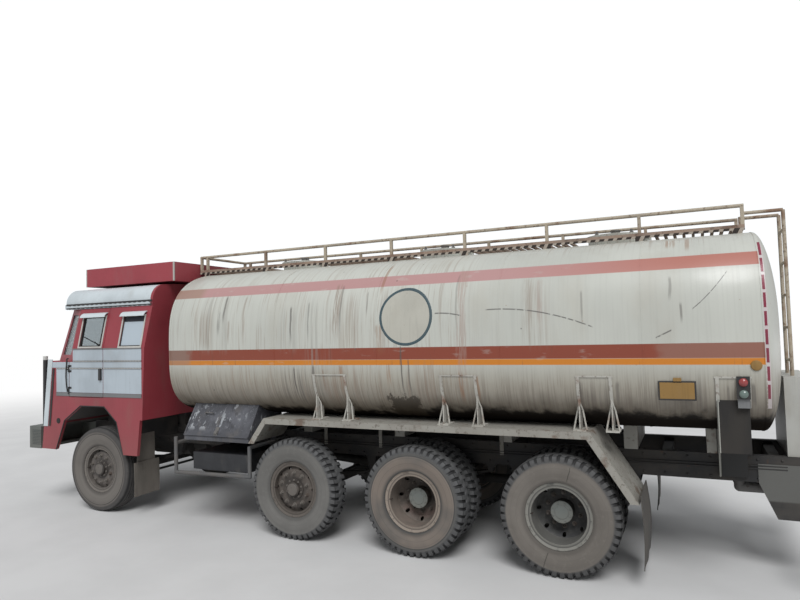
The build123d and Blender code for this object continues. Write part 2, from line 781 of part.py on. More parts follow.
frame_wall = 36
nose = across(outline([
    (nose_at(skirt_z), skirt_z), (nose_at(cowl_z), cowl_z), (nose_at(cowl_z) - cab_wall, cowl_z),
    (nose_at(skirt_z) - cab_wall, skirt_z),
]), -cab_half_width, cab_half_width)
ledge = block(pillar_x[0] + moving_gap, nose_top_x - 5, -cab_half_width, cab_half_width, ledge_z, cowl_z)
ledge -= block(pillar_x[0], nose_top_x - 60, -screen_corner_y[0] + 40, screen_corner_y[0] - 40, ledge_z - 1, cowl_z + 1)
ledge -= upward(outline([(pillar_x[0], cab_half_width - 45), (pillar_x[0], -cab_half_width + 45),
                         (nose_top_x - 60, -screen_corner_y[0] + 40), (nose_top_x - 60, screen_corner_y[0] - 40)]),
                ledge_z - 1, cowl_z + 1)
ledge -= across(outline([(door_front_x + moving_gap, ledge_z - 1), (door_front_x + moving_gap, cowl_z - 20 + 2),
                         (pillar_x[0], cowl_z + 1), (pillar_x[0] - 60, cowl_z), (pillar_x[0] - 60, ledge_z - 1)]),
                -wide_y, wide_y)
screen_frame = screen_form(0, 0) - screen_form(frame_wall, 1)
pane_split = 30
pane_frame = (75, 65)
screen_z = (cowl_z + 60, eaves_z - pane_frame[1])
pane_edge_y = (screen_corner_y[0] - pane_frame[0], screen_corner_y[1] - pane_frame[1])
quarter_z = (cowl_z + 75, eaves_z - 75)
screen_openings = [
    along(outline([(way * pane_split, screen_z[0]), (way * pane_edge_y[0], screen_z[0]),
                   (way * pane_edge_y[1], screen_z[1]), (way * pane_split, screen_z[1])]), 500, 1100)
    for way in (1, -1)
]
quarter_opening = across(outline([(470, quarter_z[0]), (760, quarter_z[0]), (640, quarter_z[1]),
                                  (425, quarter_z[1])]), screen_corner_y[1] - 20, wide_y)
quarter_openings = [quarter_opening, other_side(quarter_opening)]
for opening in screen_openings + quarter_openings:
    screen_frame -= opening
grille_half = 520
grille_z = (1120, 1620)
grille_slats = 6
grille_frame = 32
grille_proud = 14
nose_cut_half = cab_half_width - 210
nose -= block(700, 1100, -nose_cut_half, nose_cut_half, skirt_z - 1, 1045)
front = nose + ledge + screen_frame
front -= block(700, 1100, -grille_half, grille_half, *grille_z)
for row in range(grille_slats):
    z = grille_z[0] + (row + 0.5) * (grille_z[1] - grille_z[0]) / grille_slats
    front += block(nose_at(z) - cab_wall, nose_at(z) - 8, -grille_half - 2, grille_half + 2, z - 18, z + 18)
surround = block(700, 1100, -grille_half - grille_frame, grille_half + grille_frame,
                 grille_z[0] - grille_frame, grille_z[1] + grille_frame)
surround -= block(699, 1101, -grille_half, grille_half, *grille_z)
surround &= across(outline([(nose_at(skirt_z) - 5, skirt_z), (nose_at(skirt_z) + grille_proud, skirt_z),
                            (nose_at(cowl_z) + grille_proud, cowl_z), (nose_at(cowl_z) - 5, cowl_z)]),
                   -cab_half_width, cab_half_width)
front += surround
save("cab_front", front)

pane_shell = screen_form(pane_inset, 0) - screen_form(pane_inset + pane_thickness, 1)
panes = [pane_shell & opening for opening in screen_openings + quarter_openings]
side_pane_shell = along(cab_section(pane_inset), -2000, 2000) - along(cab_section(pane_inset + pane_thickness), -2000, 2000)
side_pane = side_pane_shell & window(rear_window)
save("cab_glass", *panes, side_pane)

# Roof box, an open tray with sheet sides
box_x = (-1050, 540)
box_half = cab_roof_half
box_z = (roof_crown_z + clearance, roof_crown_z + 240)
box_wall = 25
tray = block(*box_x, -box_half, box_half, *box_z)
tray -= block(box_x[0] + box_wall, box_x[1] - box_wall, -box_half + box_wall, box_half - box_wall,
              box_z[0] + box_wall, box_z[1] + 1)
save("roof_box", tray)

# Inside the cab
seat_half = 230
seat_y = 800
seat_x = (-640, -100)
seat_base_top = cab_floor_z + cab_floor_thickness + 230
cushion_thickness = 110
for y in (-seat_y, seat_y):
    floor_plate += block(seat_x[0] + 60, seat_x[1] - 40, y - seat_half + 30, y + seat_half - 30,
                         cab_floor_z + cab_floor_thickness - 5, seat_base_top)
save("cab_floor", floor_plate)
cushions = []
for y in (-seat_y, seat_y):
    cushion = block(*seat_x, y - seat_half, y + seat_half, seat_base_top + clearance,
                    seat_base_top + cushion_thickness)
    back = block(seat_x[0] - 90, seat_x[0] + 20, y - seat_half, y + seat_half,
                 seat_base_top + clearance, seat_base_top + cushion_thickness + 480)
    cushions.append(cushion + back)
save("seat_cushions", *cushions)

dash_x = (430, 730)
dash_z = (1560, 1840)
dash_half = cab_half_width - cab_wall - 30
dash = across(outline([(dash_x[0] + 90, dash_z[0]), (dash_x[1], dash_z[0]), (dash_x[1], dash_z[1]),
                       (dash_x[0] + 110, dash_z[1]), (dash_x[0] + 60, dash_z[1] - 50)]), -dash_half, dash_half)
dash += across(outline([(dash_x[0] + 40, dash_z[0] + 40), (dash_x[1], dash_z[0] + 40), (dash_x[1], dash_z[1] + 30),
                        (dash_x[0] + 40, dash_z[1] + 30), (dash_x[0], dash_z[1] - 20)]), -dash_half, -450)
for y in (-700, 700):
    dash += block(dash_x[1] - 60, dash_x[1], y - 60, y + 60, cab_floor_z + cab_floor_thickness, dash_z[0] + 5)
wheel_centre = (250, -seat_y, 1880)
column_foot = (560, -seat_y, 1480)
column_axis = (Vector(*wheel_centre) - Vector(*column_foot)).normalized()
column = rod(column_foot, wheel_centre, 28)
steering_rim = Plane(origin=wheel_centre, z_dir=column_axis) * Torus(225, 15)
spoke_plane = Plane(origin=wheel_centre, z_dir=column_axis)
spokes = spoke_plane * Box(440, 40, 14) + spoke_plane * Box(40, 440, 14)
save("dashboard", dash + column + steering_rim + spokes)

# Front bumper with end guards and upright guard posts
bumper_z = (740, 1030)
bumper_half = cab_half_width - 20
bumper_back = 1010
bumper = block(bumper_back + 30, front_overhang, -bumper_half, bumper_half, *bumper_z)
bumper -= block(bumper_back, front_overhang - 60, -bumper_half + 240, bumper_half - 240,
                bumper_z[0] + 30, bumper_z[1] - 30)
for side in (1, -1):
    y0, y1 = sorted((side * (rail_outer_y - rail_flange), side * rail_outer_y))
    bumper += block(rail_front, front_overhang - 50, y0, y1, 800, 980)
lamp_radius = 95
lamp_y = bumper_half - 270
front_lamp_depth = 40
for side in (1, -1):
    bumper -= rod((front_overhang - front_lamp_depth, side * lamp_y, 885), (front_overhang + 1, side * lamp_y, 885),
                  lamp_radius + clearance)
post_x = 1080
post_y = bumper_half - 90
post_radius = 30
post_top = 1960
for side in (1, -1):
    bumper += rod((post_x, side * post_y, bumper_z[1] - 10), (post_x, side * post_y, post_top), post_radius)
save("bumper", bumper)

# Tank: a turned body flattened to its oval, with dished heads
tank_radius = tank_half_width
crown_radius = tank_radius - 70


def tank_body():
    front_apex = tank_front + head_depth
    rear_apex = tank_rear - head_depth
    front_edge = tank_front + knuckle_depth
    rear_edge = tank_rear - knuckle_depth
    sag = 0.74
    edges = Curve() + [
        Line((rear_apex, 0), (front_apex, 0)),
        ThreePointArc((front_apex, 0), (front_edge + sag * (head_depth - knuckle_depth), crown_radius / 2),
                      (front_edge, crown_radius)),
        ThreePointArc((front_edge, crown_radius), (front_edge - 18, tank_radius - 22), (tank_front, tank_radius)),
        Line((tank_front, tank_radius), (tank_rear, tank_radius)),
        ThreePointArc((tank_rear, tank_radius), (rear_edge + 18, tank_radius - 22), (rear_edge, crown_radius)),
        ThreePointArc((rear_edge, crown_radius), (rear_edge - sag * (head_depth - knuckle_depth), crown_radius / 2),
                      (rear_apex, 0)),
    ]
    turned_body = revolve(make_face(edges), Axis.X)
    oval = scale(turned_body, by=(1, 1, tank_half_height / tank_half_width))
    return Pos(0, 0, tank_z) * oval


save("tank", tank_body())


def tank_cutter(grow):
    oval = Pos(0, tank_z) * Ellipse(tank_half_width + grow, tank_half_height + grow)
    return along(oval, tank_rear - 10, tank_front + 10)


tank_cut = tank_cutter(clearance)

saddle_stations = (-1600, -2700, -3900, -5100, -6300, -7000)
saddles = []
for station in saddle_stations:
    saddle = block(station - 60, station + 60, -rail_outer_y, rail_outer_y, rail_top, 1330) - tank_cut
    saddles.append(saddle)

# Hangers: pairs of gussets from the tank's flank down to the mudguard
hanger_pairs = ((-3650, -3280), (-5040, -4700), (-6230, -5960))
leg_x = (-7250, -7030)
leg_plate_z = (rail_bottom + 40, 1560)
hanger_top = 1740
hanger_wall = 10
hanger_outer = tank_half_width - 60
hanger_inner = tank_half_width - 200
hangers = []
for rear, front_x in hanger_pairs:
    pair = None
    for x in (rear, front_x):
        gusset = along(outline([
            (hanger_outer - 45, hanger_top), (hanger_outer, hanger_top), (hanger_outer, guard_top_z),
            (hanger_inner, guard_top_z), (hanger_outer - 120, hanger_top - 160),
        ]), x - hanger_wall / 2, x + hanger_wall / 2)
        foot = block(x - 55, x + 55, hanger_inner - 20, hanger_outer + 20, guard_top_z, guard_top_z + 12)
        pair = gusset + foot if pair is None else pair + gusset + foot
    pair += block(rear - 20, front_x + 20, hanger_outer - 75, hanger_outer, hanger_top - 10, hanger_top + 14)
    pair -= tank_cut
    hangers.append(pair)
    hangers.append(other_side(pair))

# Behind the mudguard a leg and a plate come down from the tank to the rail on each side
leg_inner = rail_outer_y + clearance
leg = across(outline([(leg_x[0], leg_plate_z[0]), (leg_x[1], leg_plate_z[0]), (leg_x[1], leg_plate_z[1]),
                      (leg_x[0], leg_plate_z[1])]), leg_inner, leg_inner + 330)
leg &= along(outline([(leg_inner, leg_plate_z[0]), (leg_inner + 30, leg_plate_z[0]), (leg_inner + 330, leg_plate_z[1]),
                      (leg_inner + 300, leg_plate_z[1]), (leg_inner, rail_top)]), leg_x[0], leg_x[1])
leg += along(outline([(leg_inner, leg_plate_z[0]), (leg_inner + 60, leg_plate_z[0]), (leg_inner + 360, leg_plate_z[1]),
                      (leg_inner + 300, leg_plate_z[1]), (leg_inner, rail_top)]), leg_x[1] - hanger_wall, leg_x[1])
leg -= tank_cut
leg = leg.solids().sort_by(Axis.Z)[0]
save("tank_mounts", *saddles, *hangers, leg, other_side(leg))

# Walkway along the crest with cross slats, edge angles, feet and openings for the manholes
slat_low = walkway_z - walkway_edge
edge_beam = block(walkway_rear, walkway_front, walkway_half - walkway_wall, walkway_half, slat_low, walkway_z)
edge_beam += block(walkway_rear, walkway_front, walkway_half - 36, walkway_half, walkway_z - walkway_wall, walkway_z)
walkway = edge_beam + other_side(edge_beam)
slat_count = int((walkway_front - walkway_rear) / slat_pitch)
slats = []
for row in range(slat_count + 1):
    x = walkway_front - slat_width / 2 - row * (walkway_front - walkway_rear - slat_width) / slat_count
    cut = [station for station in manhole_stations if abs(x - station) < manhole_window + slat_width / 2]
    spans = ((-walkway_half + 3, walkway_half - 3),)
    if cut:
        spans = ((-walkway_half + 3, -manhole_window), (manhole_window, walkway_half - 3))
    for y0, y1 in spans:
        slats.append(block(x - slat_width / 2, x + slat_width / 2, y0, y1,
                           walkway_z - slat_height, walkway_z - walkway_wall))
walkway = walkway + slats
for station in manhole_stations:
    for side in (1, -1):
        y = side * manhole_window
        walkway += block(station - manhole_window - 20, station + manhole_window + 20, y - 5, y + 5,
                         walkway_z - slat_height, walkway_z - walkway_wall)
post_stations = [walkway_front - 15, walkway_front - 115] + [
    walkway_front - first_bay - row * bay for row in range(later_bays)] + [walkway_rear + 15]
for station in post_stations[1:-1] + [walkway_rear + 60]:
    for side in (1, -1):
        foot = block(station - 40, station + 40, walkway_half - walkway_wall, walkway_half, 2880, walkway_z)
        foot = foot if side == 1 else other_side(foot)
        walkway += foot - tank_cut
save("walkway", walkway)

rail_y = walkway_half - 18
railings = []
for side in (1, -1):
    y = side * rail_y
    shape = None
    for station in post_stations:
        post = block(station - post_size / 2, station + post_size / 2,
                     y - post_size / 2, y + post_size / 2, walkway_z, rail_z)
        shape = post if shape is None else shape + post
    shape += rod((walkway_front, y, rail_z), (walkway_rear, y, rail_z), rail_radius)
    railings.append(shape)
front_cross = rod((walkway_front - 15, -rail_y, rail_z), (walkway_front - 15, rail_y, rail_z), rail_radius)
save("railings", railings[0] + railings[1] + front_cross)

# Manholes: a collar on the tank and a lid on a hinge behind it
hinge_rod = 10
lid_low = collar_top + clearance
lid_hinge_z = collar_top + lid_thickness / 2
collars = []
for number, station in enumerate(manhole_stations, 1):
    collar = rod((station, 0, tank_z + tank_half_height - 60), (station, 0, collar_top), collar_radius)
    collar -= tank_cut
    collar -= rod((station, 0, tank_z + tank_half_height + 20), (station, 0, collar_top + 1), collar_radius - collar_wall)
    hinge_at = station - lid_radius - lid_hinge_gap
    ear_zone = block(hinge_at - 14, station - collar_radius + 8, -20, 20, collar_top - 40, lid_hinge_z - hinge_rod - 4)
    ear = ear_zone + block(hinge_at - 14, hinge_at + 14, -20, 20, collar_top - 40, lid_hinge_z)
    ear += rod((hinge_at, -20, lid_hinge_z), (hinge_at, 20, lid_hinge_z), hinge_rod + 4)
    collars.append(collar + ear)
    lid = rod((station, 0, lid_low), (station, 0, lid_low + lid_thickness), lid_radius)
    lid += Pos(station, 0, lid_low + lid_thickness) * Cone(lid_radius - 80, lid_radius - 110, lid_rise,
                                                           align=(Align.CENTER, Align.CENTER, Align.MIN))
    for side in (1, -1):
        y0, y1 = sorted((side * (20 + clearance), side * 50))
        lid += block(hinge_at, station - lid_radius + 20, y0, y1, lid_low, lid_low + lid_thickness)
        lid += rod((hinge_at, y0, lid_hinge_z), (hinge_at, y1, lid_hinge_z), hinge_rod + 2)
    lid += block(station + lid_radius - 10, station + lid_radius + 40, -25, 25, lid_low, lid_low + lid_thickness)
    save(f"manhole_lid_{number}", lid)
save("manhole_collars", *collars)

# Mudguards over the three rear axles, with a lip along the outer edge


def guard_band(depth):
    """The mudguard's side outline, this deep below its top line."""
    top = [guard_front, (guard_front_top, guard_top_z), (guard_rear_top, guard_top_z), guard_rear]
    inner = [(guard_rear[0] + depth * 1.15, guard_rear[1]), (guard_rear_top + 0.55 * depth, guard_top_z - depth),
             (guard_front_top - 0.4 * depth, guard_top_z - depth), (guard_front[0] - depth * 1.2, guard_front[1])]
    return outline(top + inner)


guard = across(guard_band(guard_sheet), guard_inner_y, guard_outer_y)
guard += across(guard_band(guard_lip), guard_outer_y - guard_lip_wall, guard_outer_y)
stay_stations = (-2950, -3665, -5055)
for station in stay_stations:
    guard += block(station - 20, station + 20, rail_outer_y, guard_inner_y + 60, guard_top_z - guard_sheet - 40,
                   guard_top_z - guard_sheet)
    guard += block(station - 20, station + 20, rail_outer_y, rail_outer_y + 12, rail_bottom + 100,
                   guard_top_z - guard_sheet)
save("mudguards", guard, other_side(guard))

flap_wall = 10
rear_flap = block(guard_rear[0] - flap_wall - clearance, guard_rear[0] - clearance, guard_inner_y + 20,
                  guard_outer_y - 10, 170, 770)
front_flap = block(front_flap_x - flap_wall, front_flap_x, 790, flap_outer_y, 240, 990)
save("mudflaps", rear_flap, other_side(rear_flap), front_flap, other_side(front_flap))

# Toolbox with a sloping lid, left side
guard_tube_y = overall_half - 70
tube_radius = 22
slope_run = toolbox_outer_y - toolbox_lid_top_y
slope_rise = toolbox_top - toolbox_sill
slope_length = sqrt(slope_run ** 2 + slope_rise ** 2)


def toolbox_section(inset):
    return outline([
        (toolbox_inner_y + inset, toolbox_bottom + inset), (toolbox_outer_y - inset, toolbox_bottom + inset),
        (toolbox_outer_y - inset, toolbox_sill - 0.3 * inset),
        (toolbox_lid_top_y - 0.3 * inset, toolbox_top - inset), (860, toolbox_top - inset),
        (toolbox_inner_y + inset, 1290 - 0.5 * inset),
    ])


toolbox = along(toolbox_section(0), *toolbox_x)
toolbox -= along(toolbox_section(toolbox_wall), toolbox_x[0] + toolbox_wall, toolbox_x[1] - toolbox_wall)
normal = Vector(0, slope_rise, slope_run).normalized()
down = Vector(0, slope_run, -slope_rise).normalized()
top_edge = Vector(0, toolbox_lid_top_y, toolbox_top)


def on_slope(distance, lift):
    point = top_edge + down * distance + normal * lift
    return (point.Y, point.Z)


mouth_margin = 40
mouth = along(outline([on_slope(mouth_margin, -60), on_slope(slope_length - mouth_margin, -60),
                       on_slope(slope_length - mouth_margin, 40), on_slope(mouth_margin, 40)]),
              toolbox_x[0] + mouth_margin, toolbox_x[1] - mouth_margin)
toolbox -= mouth
for x in (toolbox_x[0] + 120, toolbox_x[1] - 120):
    toolbox += block(x - 40, x + 40, rail_outer_y, toolbox_inner_y + 5, toolbox_bottom - 150, toolbox_bottom - 100)
    toolbox += block(x - 40, x + 40, toolbox_inner_y - 12, toolbox_inner_y, toolbox_bottom - 150, toolbox_bottom + 100)
box_hinge = on_slope(-hinge_radius - 3, hinge_radius)
lid_hinge_x = (toolbox_x[0] + toolbox_x[1]) / 2
lid_hinge_half = 40
toolbox += rod((lid_hinge_x - lid_hinge_half, *box_hinge), (lid_hinge_x + lid_hinge_half, *box_hinge), hinge_radius)
toolbox += along(outline([on_slope(-hinge_radius - 3, 0), on_slope(-hinge_radius - 3, hinge_radius),
                          on_slope(-2 * hinge_radius - 20, 0), on_slope(-2 * hinge_radius - 20, -hinge_radius - 14),
                          on_slope(6, -14), on_slope(0, -clearance)]),
                 lid_hinge_x - lid_hinge_half, lid_hinge_x + lid_hinge_half)
battery_outer_y = guard_tube_y - tube_radius - 8
battery_x = (toolbox_x[0] + 70, toolbox_x[1] - 60)
battery_bottom = 640
toolbox += block(*battery_x, rail_outer_y, battery_outer_y, battery_bottom, toolbox_bottom - 150)
save("toolbox", toolbox)

box_lid = along(outline([on_slope(0, clearance), on_slope(slope_length, clearance),
                         on_slope(slope_length, clearance + lid_sheet), on_slope(0, clearance + lid_sheet)]),
                *toolbox_x)
lid_barrel = lid_hinge_half + clearance
for x0, x1 in ((lid_hinge_x - lid_barrel - 60, lid_hinge_x - lid_barrel), (lid_hinge_x + lid_barrel, lid_hinge_x + lid_barrel + 60)):
    box_lid += rod((x0, *box_hinge), (x1, *box_hinge), hinge_radius)
    box_lid += along(outline([on_slope(-hinge_radius - 3, clearance), on_slope(4, clearance),
                              on_slope(4, clearance + lid_sheet), on_slope(-hinge_radius - 3, clearance + lid_sheet)]),
                     x0, x1)
save("toolbox_lid", box_lid)

# Fuel tank on the right, air reservoirs
fuel = block(-2340, -1480, -guard_tube_y + tube_radius + 18, -rail_outer_y - 70, 600, 1000)
fuel = fillet(fuel.edges().filter_by(Axis.X), 90)
filler = (-2220, -guard_tube_y + 230)
fuel += rod((*filler, 990), (*filler, 1034), 50) + rod((*filler, 1034), (*filler, 1052), 58)
for x in (-2200, -1620):
    fuel += block(x - 30, x + 30, -rail_outer_y - 100, -rail_outer_y, 820, 960)
save("fuel_tank", fuel)

air_tanks = []
for y in (-120, 120):
    air = fillet(rod((-2150, y * 1.6, 700), (-1500, y * 1.6, 700), 110).edges().filter_by(GeomType.CIRCLE), 45)
    air += block(-1800, -1740, y * 1.6 - 30, y * 1.6 + 30, 790, rail_bottom + 40)
    air_tanks.append(air)
save("air_tanks", *air_tanks)

# Side guard: a bent grey tube in front of the toolbox on each side
tube_arm_z = 930
tube_x = (-1310, -2392)
tube_low_z = (590, 610)
tube_top_z = 1000
side_tubes = []
for side in (1, -1):
    y = side * guard_tube_y
    path = ((tube_x[0], y, tube_top_z), (tube_x[0], y, tube_low_z[0]), (tube_x[1], y, tube_low_z[1]),
            (tube_x[1], y, tube_arm_z))
    shape = None
    for start, end in zip(path, path[1:]):
        run = rod(start, end, tube_radius)
        shape = run if shape is None else shape + run
    for corner in path[1:]:
        shape += Pos(*corner) * Sphere(tube_radius)
    for x in (path[0][0], path[-1][0]):
        shape += rod((x, side * rail_outer_y, tube_arm_z), (x, y, tube_arm_z), tube_radius)
    side_tubes.append(shape)
save("side_guards", *side_tubes)

# Rear: cabinet with a door, outlet pipes, ladder, underrun beam and lamps
cabinet_x = (frame_rear + 15, -7560)
cabinet_half = 420
cabinet_z = (rail_top, 1690)
cabinet_wall = 12
cabinet = block(*cabinet_x, -cabinet_half, cabinet_half, *cabinet_z)
cabinet -= block(cabinet_x[0] - 1, cabinet_x[1] - cabinet_wall, -cabinet_half + cabinet_wall, cabinet_half - cabinet_wall,
                 cabinet_z[0] + cabinet_wall, cabinet_z[1] - cabinet_wall)
cabinet_hinge_x = cabinet_x[0] - 14
cabinet_hinge_y = cabinet_half + hinge_radius + 2
cabinet_hinge_heights = (1150, 1550)
for z in cabinet_hinge_heights:
    cabinet += rod((cabinet_hinge_x, cabinet_hinge_y, z - 20), (cabinet_hinge_x, cabinet_hinge_y, z + 20), hinge_radius)
    cabinet += block(cabinet_hinge_x, cabinet_x[0] + 40, cabinet_half - 2, cabinet_half + hinge_leaf, z - 20, z + 20)
save("cabinet", cabinet)
cabinet_door = block(cabinet_x[0] - 14, cabinet_x[0] - clearance, -cabinet_half, cabinet_half - 3,
                     cabinet_z[0] + moving_gap, cabinet_z[1])
for z in cabinet_hinge_heights:
    for z0, z1 in ((20 + clearance, 46), (-46, -20 - clearance)):
        cabinet_door += rod((cabinet_hinge_x, cabinet_hinge_y, z + z0), (cabinet_hinge_x, cabinet_hinge_y, z + z1), hinge_radius)
        cabinet_door += block(cabinet_x[0] - 14, cabinet_x[0] - 5, cabinet_half - 12, cabinet_hinge_y, z + z0, z + z1)
save("cabinet_door", cabinet_door)

# Three outlets drop from the tank, turn below the rails and end in open flanges
outlet_ys = (-250, 0, 250)
outlet_z = 690
outlet_radius = 45
outlet_bore = 38
outlet_front = -7190
outlet_mouth = -7700
outlet_bore_depth = 80
outlet_flange = 16
pipes = []
for y in outlet_ys:
    drop_top = tank_z - tank_half_height + 60
    pipe = rod((outlet_front, y, outlet_z), (outlet_front, y, drop_top), outlet_radius) - tank_cut
    pipe += Pos(outlet_front, y, outlet_z) * Sphere(outlet_radius)
    pipe += rod((outlet_front, y, outlet_z), (outlet_mouth, y, outlet_z), outlet_radius)
    pipe += rod((outlet_mouth + 25, y, outlet_z), (outlet_mouth, y, outlet_z), outlet_radius + outlet_flange)
    pipe -= rod((outlet_mouth + outlet_bore_depth, y, outlet_z), (outlet_mouth - 1, y, outlet_z), outlet_bore)
    pipes.append(pipe)
save("outlet_pipes", *pipes)

ladder_x = -7640
ladder_y = (-20, 300)
ladder_top = 3150
ladder_foot = cabinet_z[1]
ladder = None
for y in ladder_y:
    stile = rod((ladder_x, y, ladder_foot), (ladder_x, y, ladder_top), 16)
    stile += rod((ladder_x, y, ladder_top), (walkway_rear + 5, y, ladder_top), 16)
    stile += rod((walkway_rear + 5, y, ladder_top + 16), (walkway_rear + 5, y, walkway_z - walkway_wall), 16)
    ladder = stile if ladder is None else ladder + stile
rung_pitch = 290
for row in range(5):
    z = ladder_foot + 130 + row * rung_pitch
    ladder += rod((ladder_x, ladder_y[0], z), (ladder_x, ladder_y[1], z), 13)
save("ladder", ladder)

beam_z = (450, 600)
beam_half_width = overall_half - 170
bracket_plate = 10
bracket_front = -7330
beam_x = (rear_end + lamp_depth, frame_rear - clearance)
rear_beam = block(*beam_x, -beam_half_width, beam_half_width, *beam_z)
for side in (1, -1):
    y0, y1 = sorted((side * (rail_outer_y - 40), side * rail_outer_y))
    rear_beam += block(*beam_x, y0, y1, beam_z[1] - 10, rail_top - 40)
    plate_outline = outline([(beam_x[1] - 10, beam_z[0] + 30), (bracket_front - 130, beam_z[0] + 30),
                             (bracket_front, rail_bottom), (bracket_front, rail_top - 70), (beam_x[1] - 10, rail_top - 70)])
    y0, y1 = sorted((side * (rail_outer_y + clearance), side * (rail_outer_y + bracket_plate)))
    rear_beam += across(plate_outline, y0, y1)
    y0, y1 = sorted((side * (rail_outer_y - 5), side * (rail_outer_y + bracket_plate)))
    rear_beam += block(beam_x[0], beam_x[1], y0, y1, beam_z[0] + 30, rail_top - 70)
save("rear_bumper", rear_beam)

lamps = []
for side in (1, -1):
    y = side * 900
    lamps.append(block(rear_end, beam_x[0] - clearance, y - 110, y + 110, beam_z[0] + 20, beam_z[1] - 20))
    lamps.append(rod((front_overhang - front_lamp_depth + clearance, side * lamp_y, 885),
                     (front_overhang, side * lamp_y, 885), lamp_radius))
save("lamps", *lamps)
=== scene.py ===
import json
import math
import random

import bmesh
import bpy
from bpy.props import (FloatProperty, FloatVectorProperty, IntProperty,
                       PointerProperty)
from mathutils import Matrix, Vector


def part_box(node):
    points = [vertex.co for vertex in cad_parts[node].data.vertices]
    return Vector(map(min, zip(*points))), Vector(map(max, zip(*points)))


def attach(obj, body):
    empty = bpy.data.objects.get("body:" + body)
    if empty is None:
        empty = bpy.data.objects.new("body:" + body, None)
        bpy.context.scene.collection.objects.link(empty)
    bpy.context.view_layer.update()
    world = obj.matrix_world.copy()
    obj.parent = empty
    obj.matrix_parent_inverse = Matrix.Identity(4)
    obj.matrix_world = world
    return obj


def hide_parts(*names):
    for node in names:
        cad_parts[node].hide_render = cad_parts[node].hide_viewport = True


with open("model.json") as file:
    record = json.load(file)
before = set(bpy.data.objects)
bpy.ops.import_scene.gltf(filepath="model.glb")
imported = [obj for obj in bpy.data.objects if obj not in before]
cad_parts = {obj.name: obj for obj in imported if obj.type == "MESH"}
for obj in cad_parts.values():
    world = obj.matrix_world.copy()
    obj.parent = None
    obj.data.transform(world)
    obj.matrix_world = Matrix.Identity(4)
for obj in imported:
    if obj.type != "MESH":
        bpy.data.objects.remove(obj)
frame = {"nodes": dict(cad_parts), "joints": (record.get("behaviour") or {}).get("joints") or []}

bl_info = {
    "name": "Road tanker dressing",
    "version": (1, 0, 0),
    "blender": (4, 5, 0),
    "location": "View3D > Sidebar > Tanker",
    "description": "Paint, tyres, trim and fittings for a four-axle road tanker",
    "category": "Object",
}

# Frame values: metres, +X forward, +Y left, +Z up. Stations are measured from the front axle.
JOINTS = {joint["name"]: joint for joint in frame["joints"]}
AXLE_X = JOINTS["front_wheel_left_spin"]["pos_m"][0]
CHASSIS = "chassis"
WHEELS = ("front", "second", "third", "fourth")
TWIN_WHEELS = ("third", "fourth")
TWIN_SPACING = 0.325
WHEEL_Z = JOINTS["second_wheel_left_spin"]["pos_m"][2]
SIDES = (("left", 1), ("right", -1))
WAYS = (1, -1)
# Distance from the middle of a wheel's outer rim to the edge of its bead
RIM_EDGE = 0.1

# Tank: a rounded box section, fuller above and below than an ellipse, with a shallow dished head at each end
TANK_LOW, TANK_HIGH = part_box("tank")
TANK_FLANK_ROOM = 0.008
TANK_HALF_WIDTH = (TANK_HIGH.y - TANK_LOW.y) / 2 - TANK_FLANK_ROOM
TANK_Z = 2.045
TANK_RISE = TANK_HIGH.z - TANK_Z - 0.001
TANK_DROP = TANK_Z - TANK_LOW.z - 0.001
UPPER_CURVE = 3.0
LOWER_CURVE = 3.6
HEAD_CURVE = 1.7
TANK_HEAD = 0.19
TANK_FRONT = TANK_HIGH.x - TANK_HEAD
TANK_REAR = TANK_LOW.x + TANK_HEAD

# Cab
CAB_HALF = 1.220
CAB_EAVES_HALF = 1.107
BELT_Z = 2.050
EAVES_Z = 2.570
COWL_Z = 1.900
SKIRT_Z = 0.750
NOSE_X = (0.985, 0.860)
SCREEN_TOP_X = 0.680
DOOR_X = (-0.172, 0.450)
BACK_X = -0.835
PANEL_FRONT = 0.700

# Stations of the bars that hang each mudguard bracket, rear and front; the last pair carries a leg
# instead of feet
HANGERS = ((-3.65, -3.28), (-5.04, -4.70), (-6.23, -5.96), (-7.25, -7.03))
# Station and height of each axle's spring seats
SPRING_SEATS = ((0.0, 0.500), (-2.97, 0.500), (-4.36, 0.5995), (-5.75, 0.5995))


def ahead(station):
    """X in the frame of a station measured forward from the front axle."""
    return AXLE_X + station


def tank_y(z, lift=0.0):
    """Half width of the tank's section at height z, with its surface raised by lift."""
    reach, curve = (TANK_RISE, UPPER_CURVE) if z > TANK_Z else (TANK_DROP, LOWER_CURVE)
    share = min(1.0, abs(z - TANK_Z) / (reach + lift))
    return (TANK_HALF_WIDTH + lift) * (1 - share ** curve) ** (1 / curve)


def tank_point(angle, lift=0.0, scale=1.0):
    """Y and Z on the tank's section at a turn from its left side, raised by lift or shrunk by scale."""
    across, up = math.cos(angle), math.sin(angle)
    reach, curve = (TANK_RISE, UPPER_CURVE) if up > 0 else (TANK_DROP, LOWER_CURVE)
    return (scale * (TANK_HALF_WIDTH + lift) * math.copysign(abs(across) ** (2 / curve), across),
            TANK_Z + scale * (reach + lift) * math.copysign(abs(up) ** (2 / curve), up))


def cab_y(z, lift=0.0):
    """Half width of the cab's side at height z, which leans in from the belt to the eaves, raised by lift."""
    share = min(1.0, max(0.0, (z - BELT_Z) / (EAVES_Z - BELT_Z)))
    return CAB_HALF + (CAB_EAVES_HALF - CAB_HALF) * share + lift


def nose_x(z):
    """Station of the nose panel's face at height z."""
    return NOSE_X[0] + (NOSE_X[1] - NOSE_X[0]) * (z - SKIRT_Z) / (COWL_Z - SKIRT_Z)


# Settings

def tint(name, description, default):
    """A colour setting."""
    return FloatVectorProperty(name=name, description=description, default=default, size=3,
                               subtype="COLOR", min=0.0, max=1.0)


def metres(name, description, default):
    """A length setting."""
    return FloatProperty(name=name, description=description, default=default, unit="LENGTH",
                         subtype="DISTANCE", min=0.0)


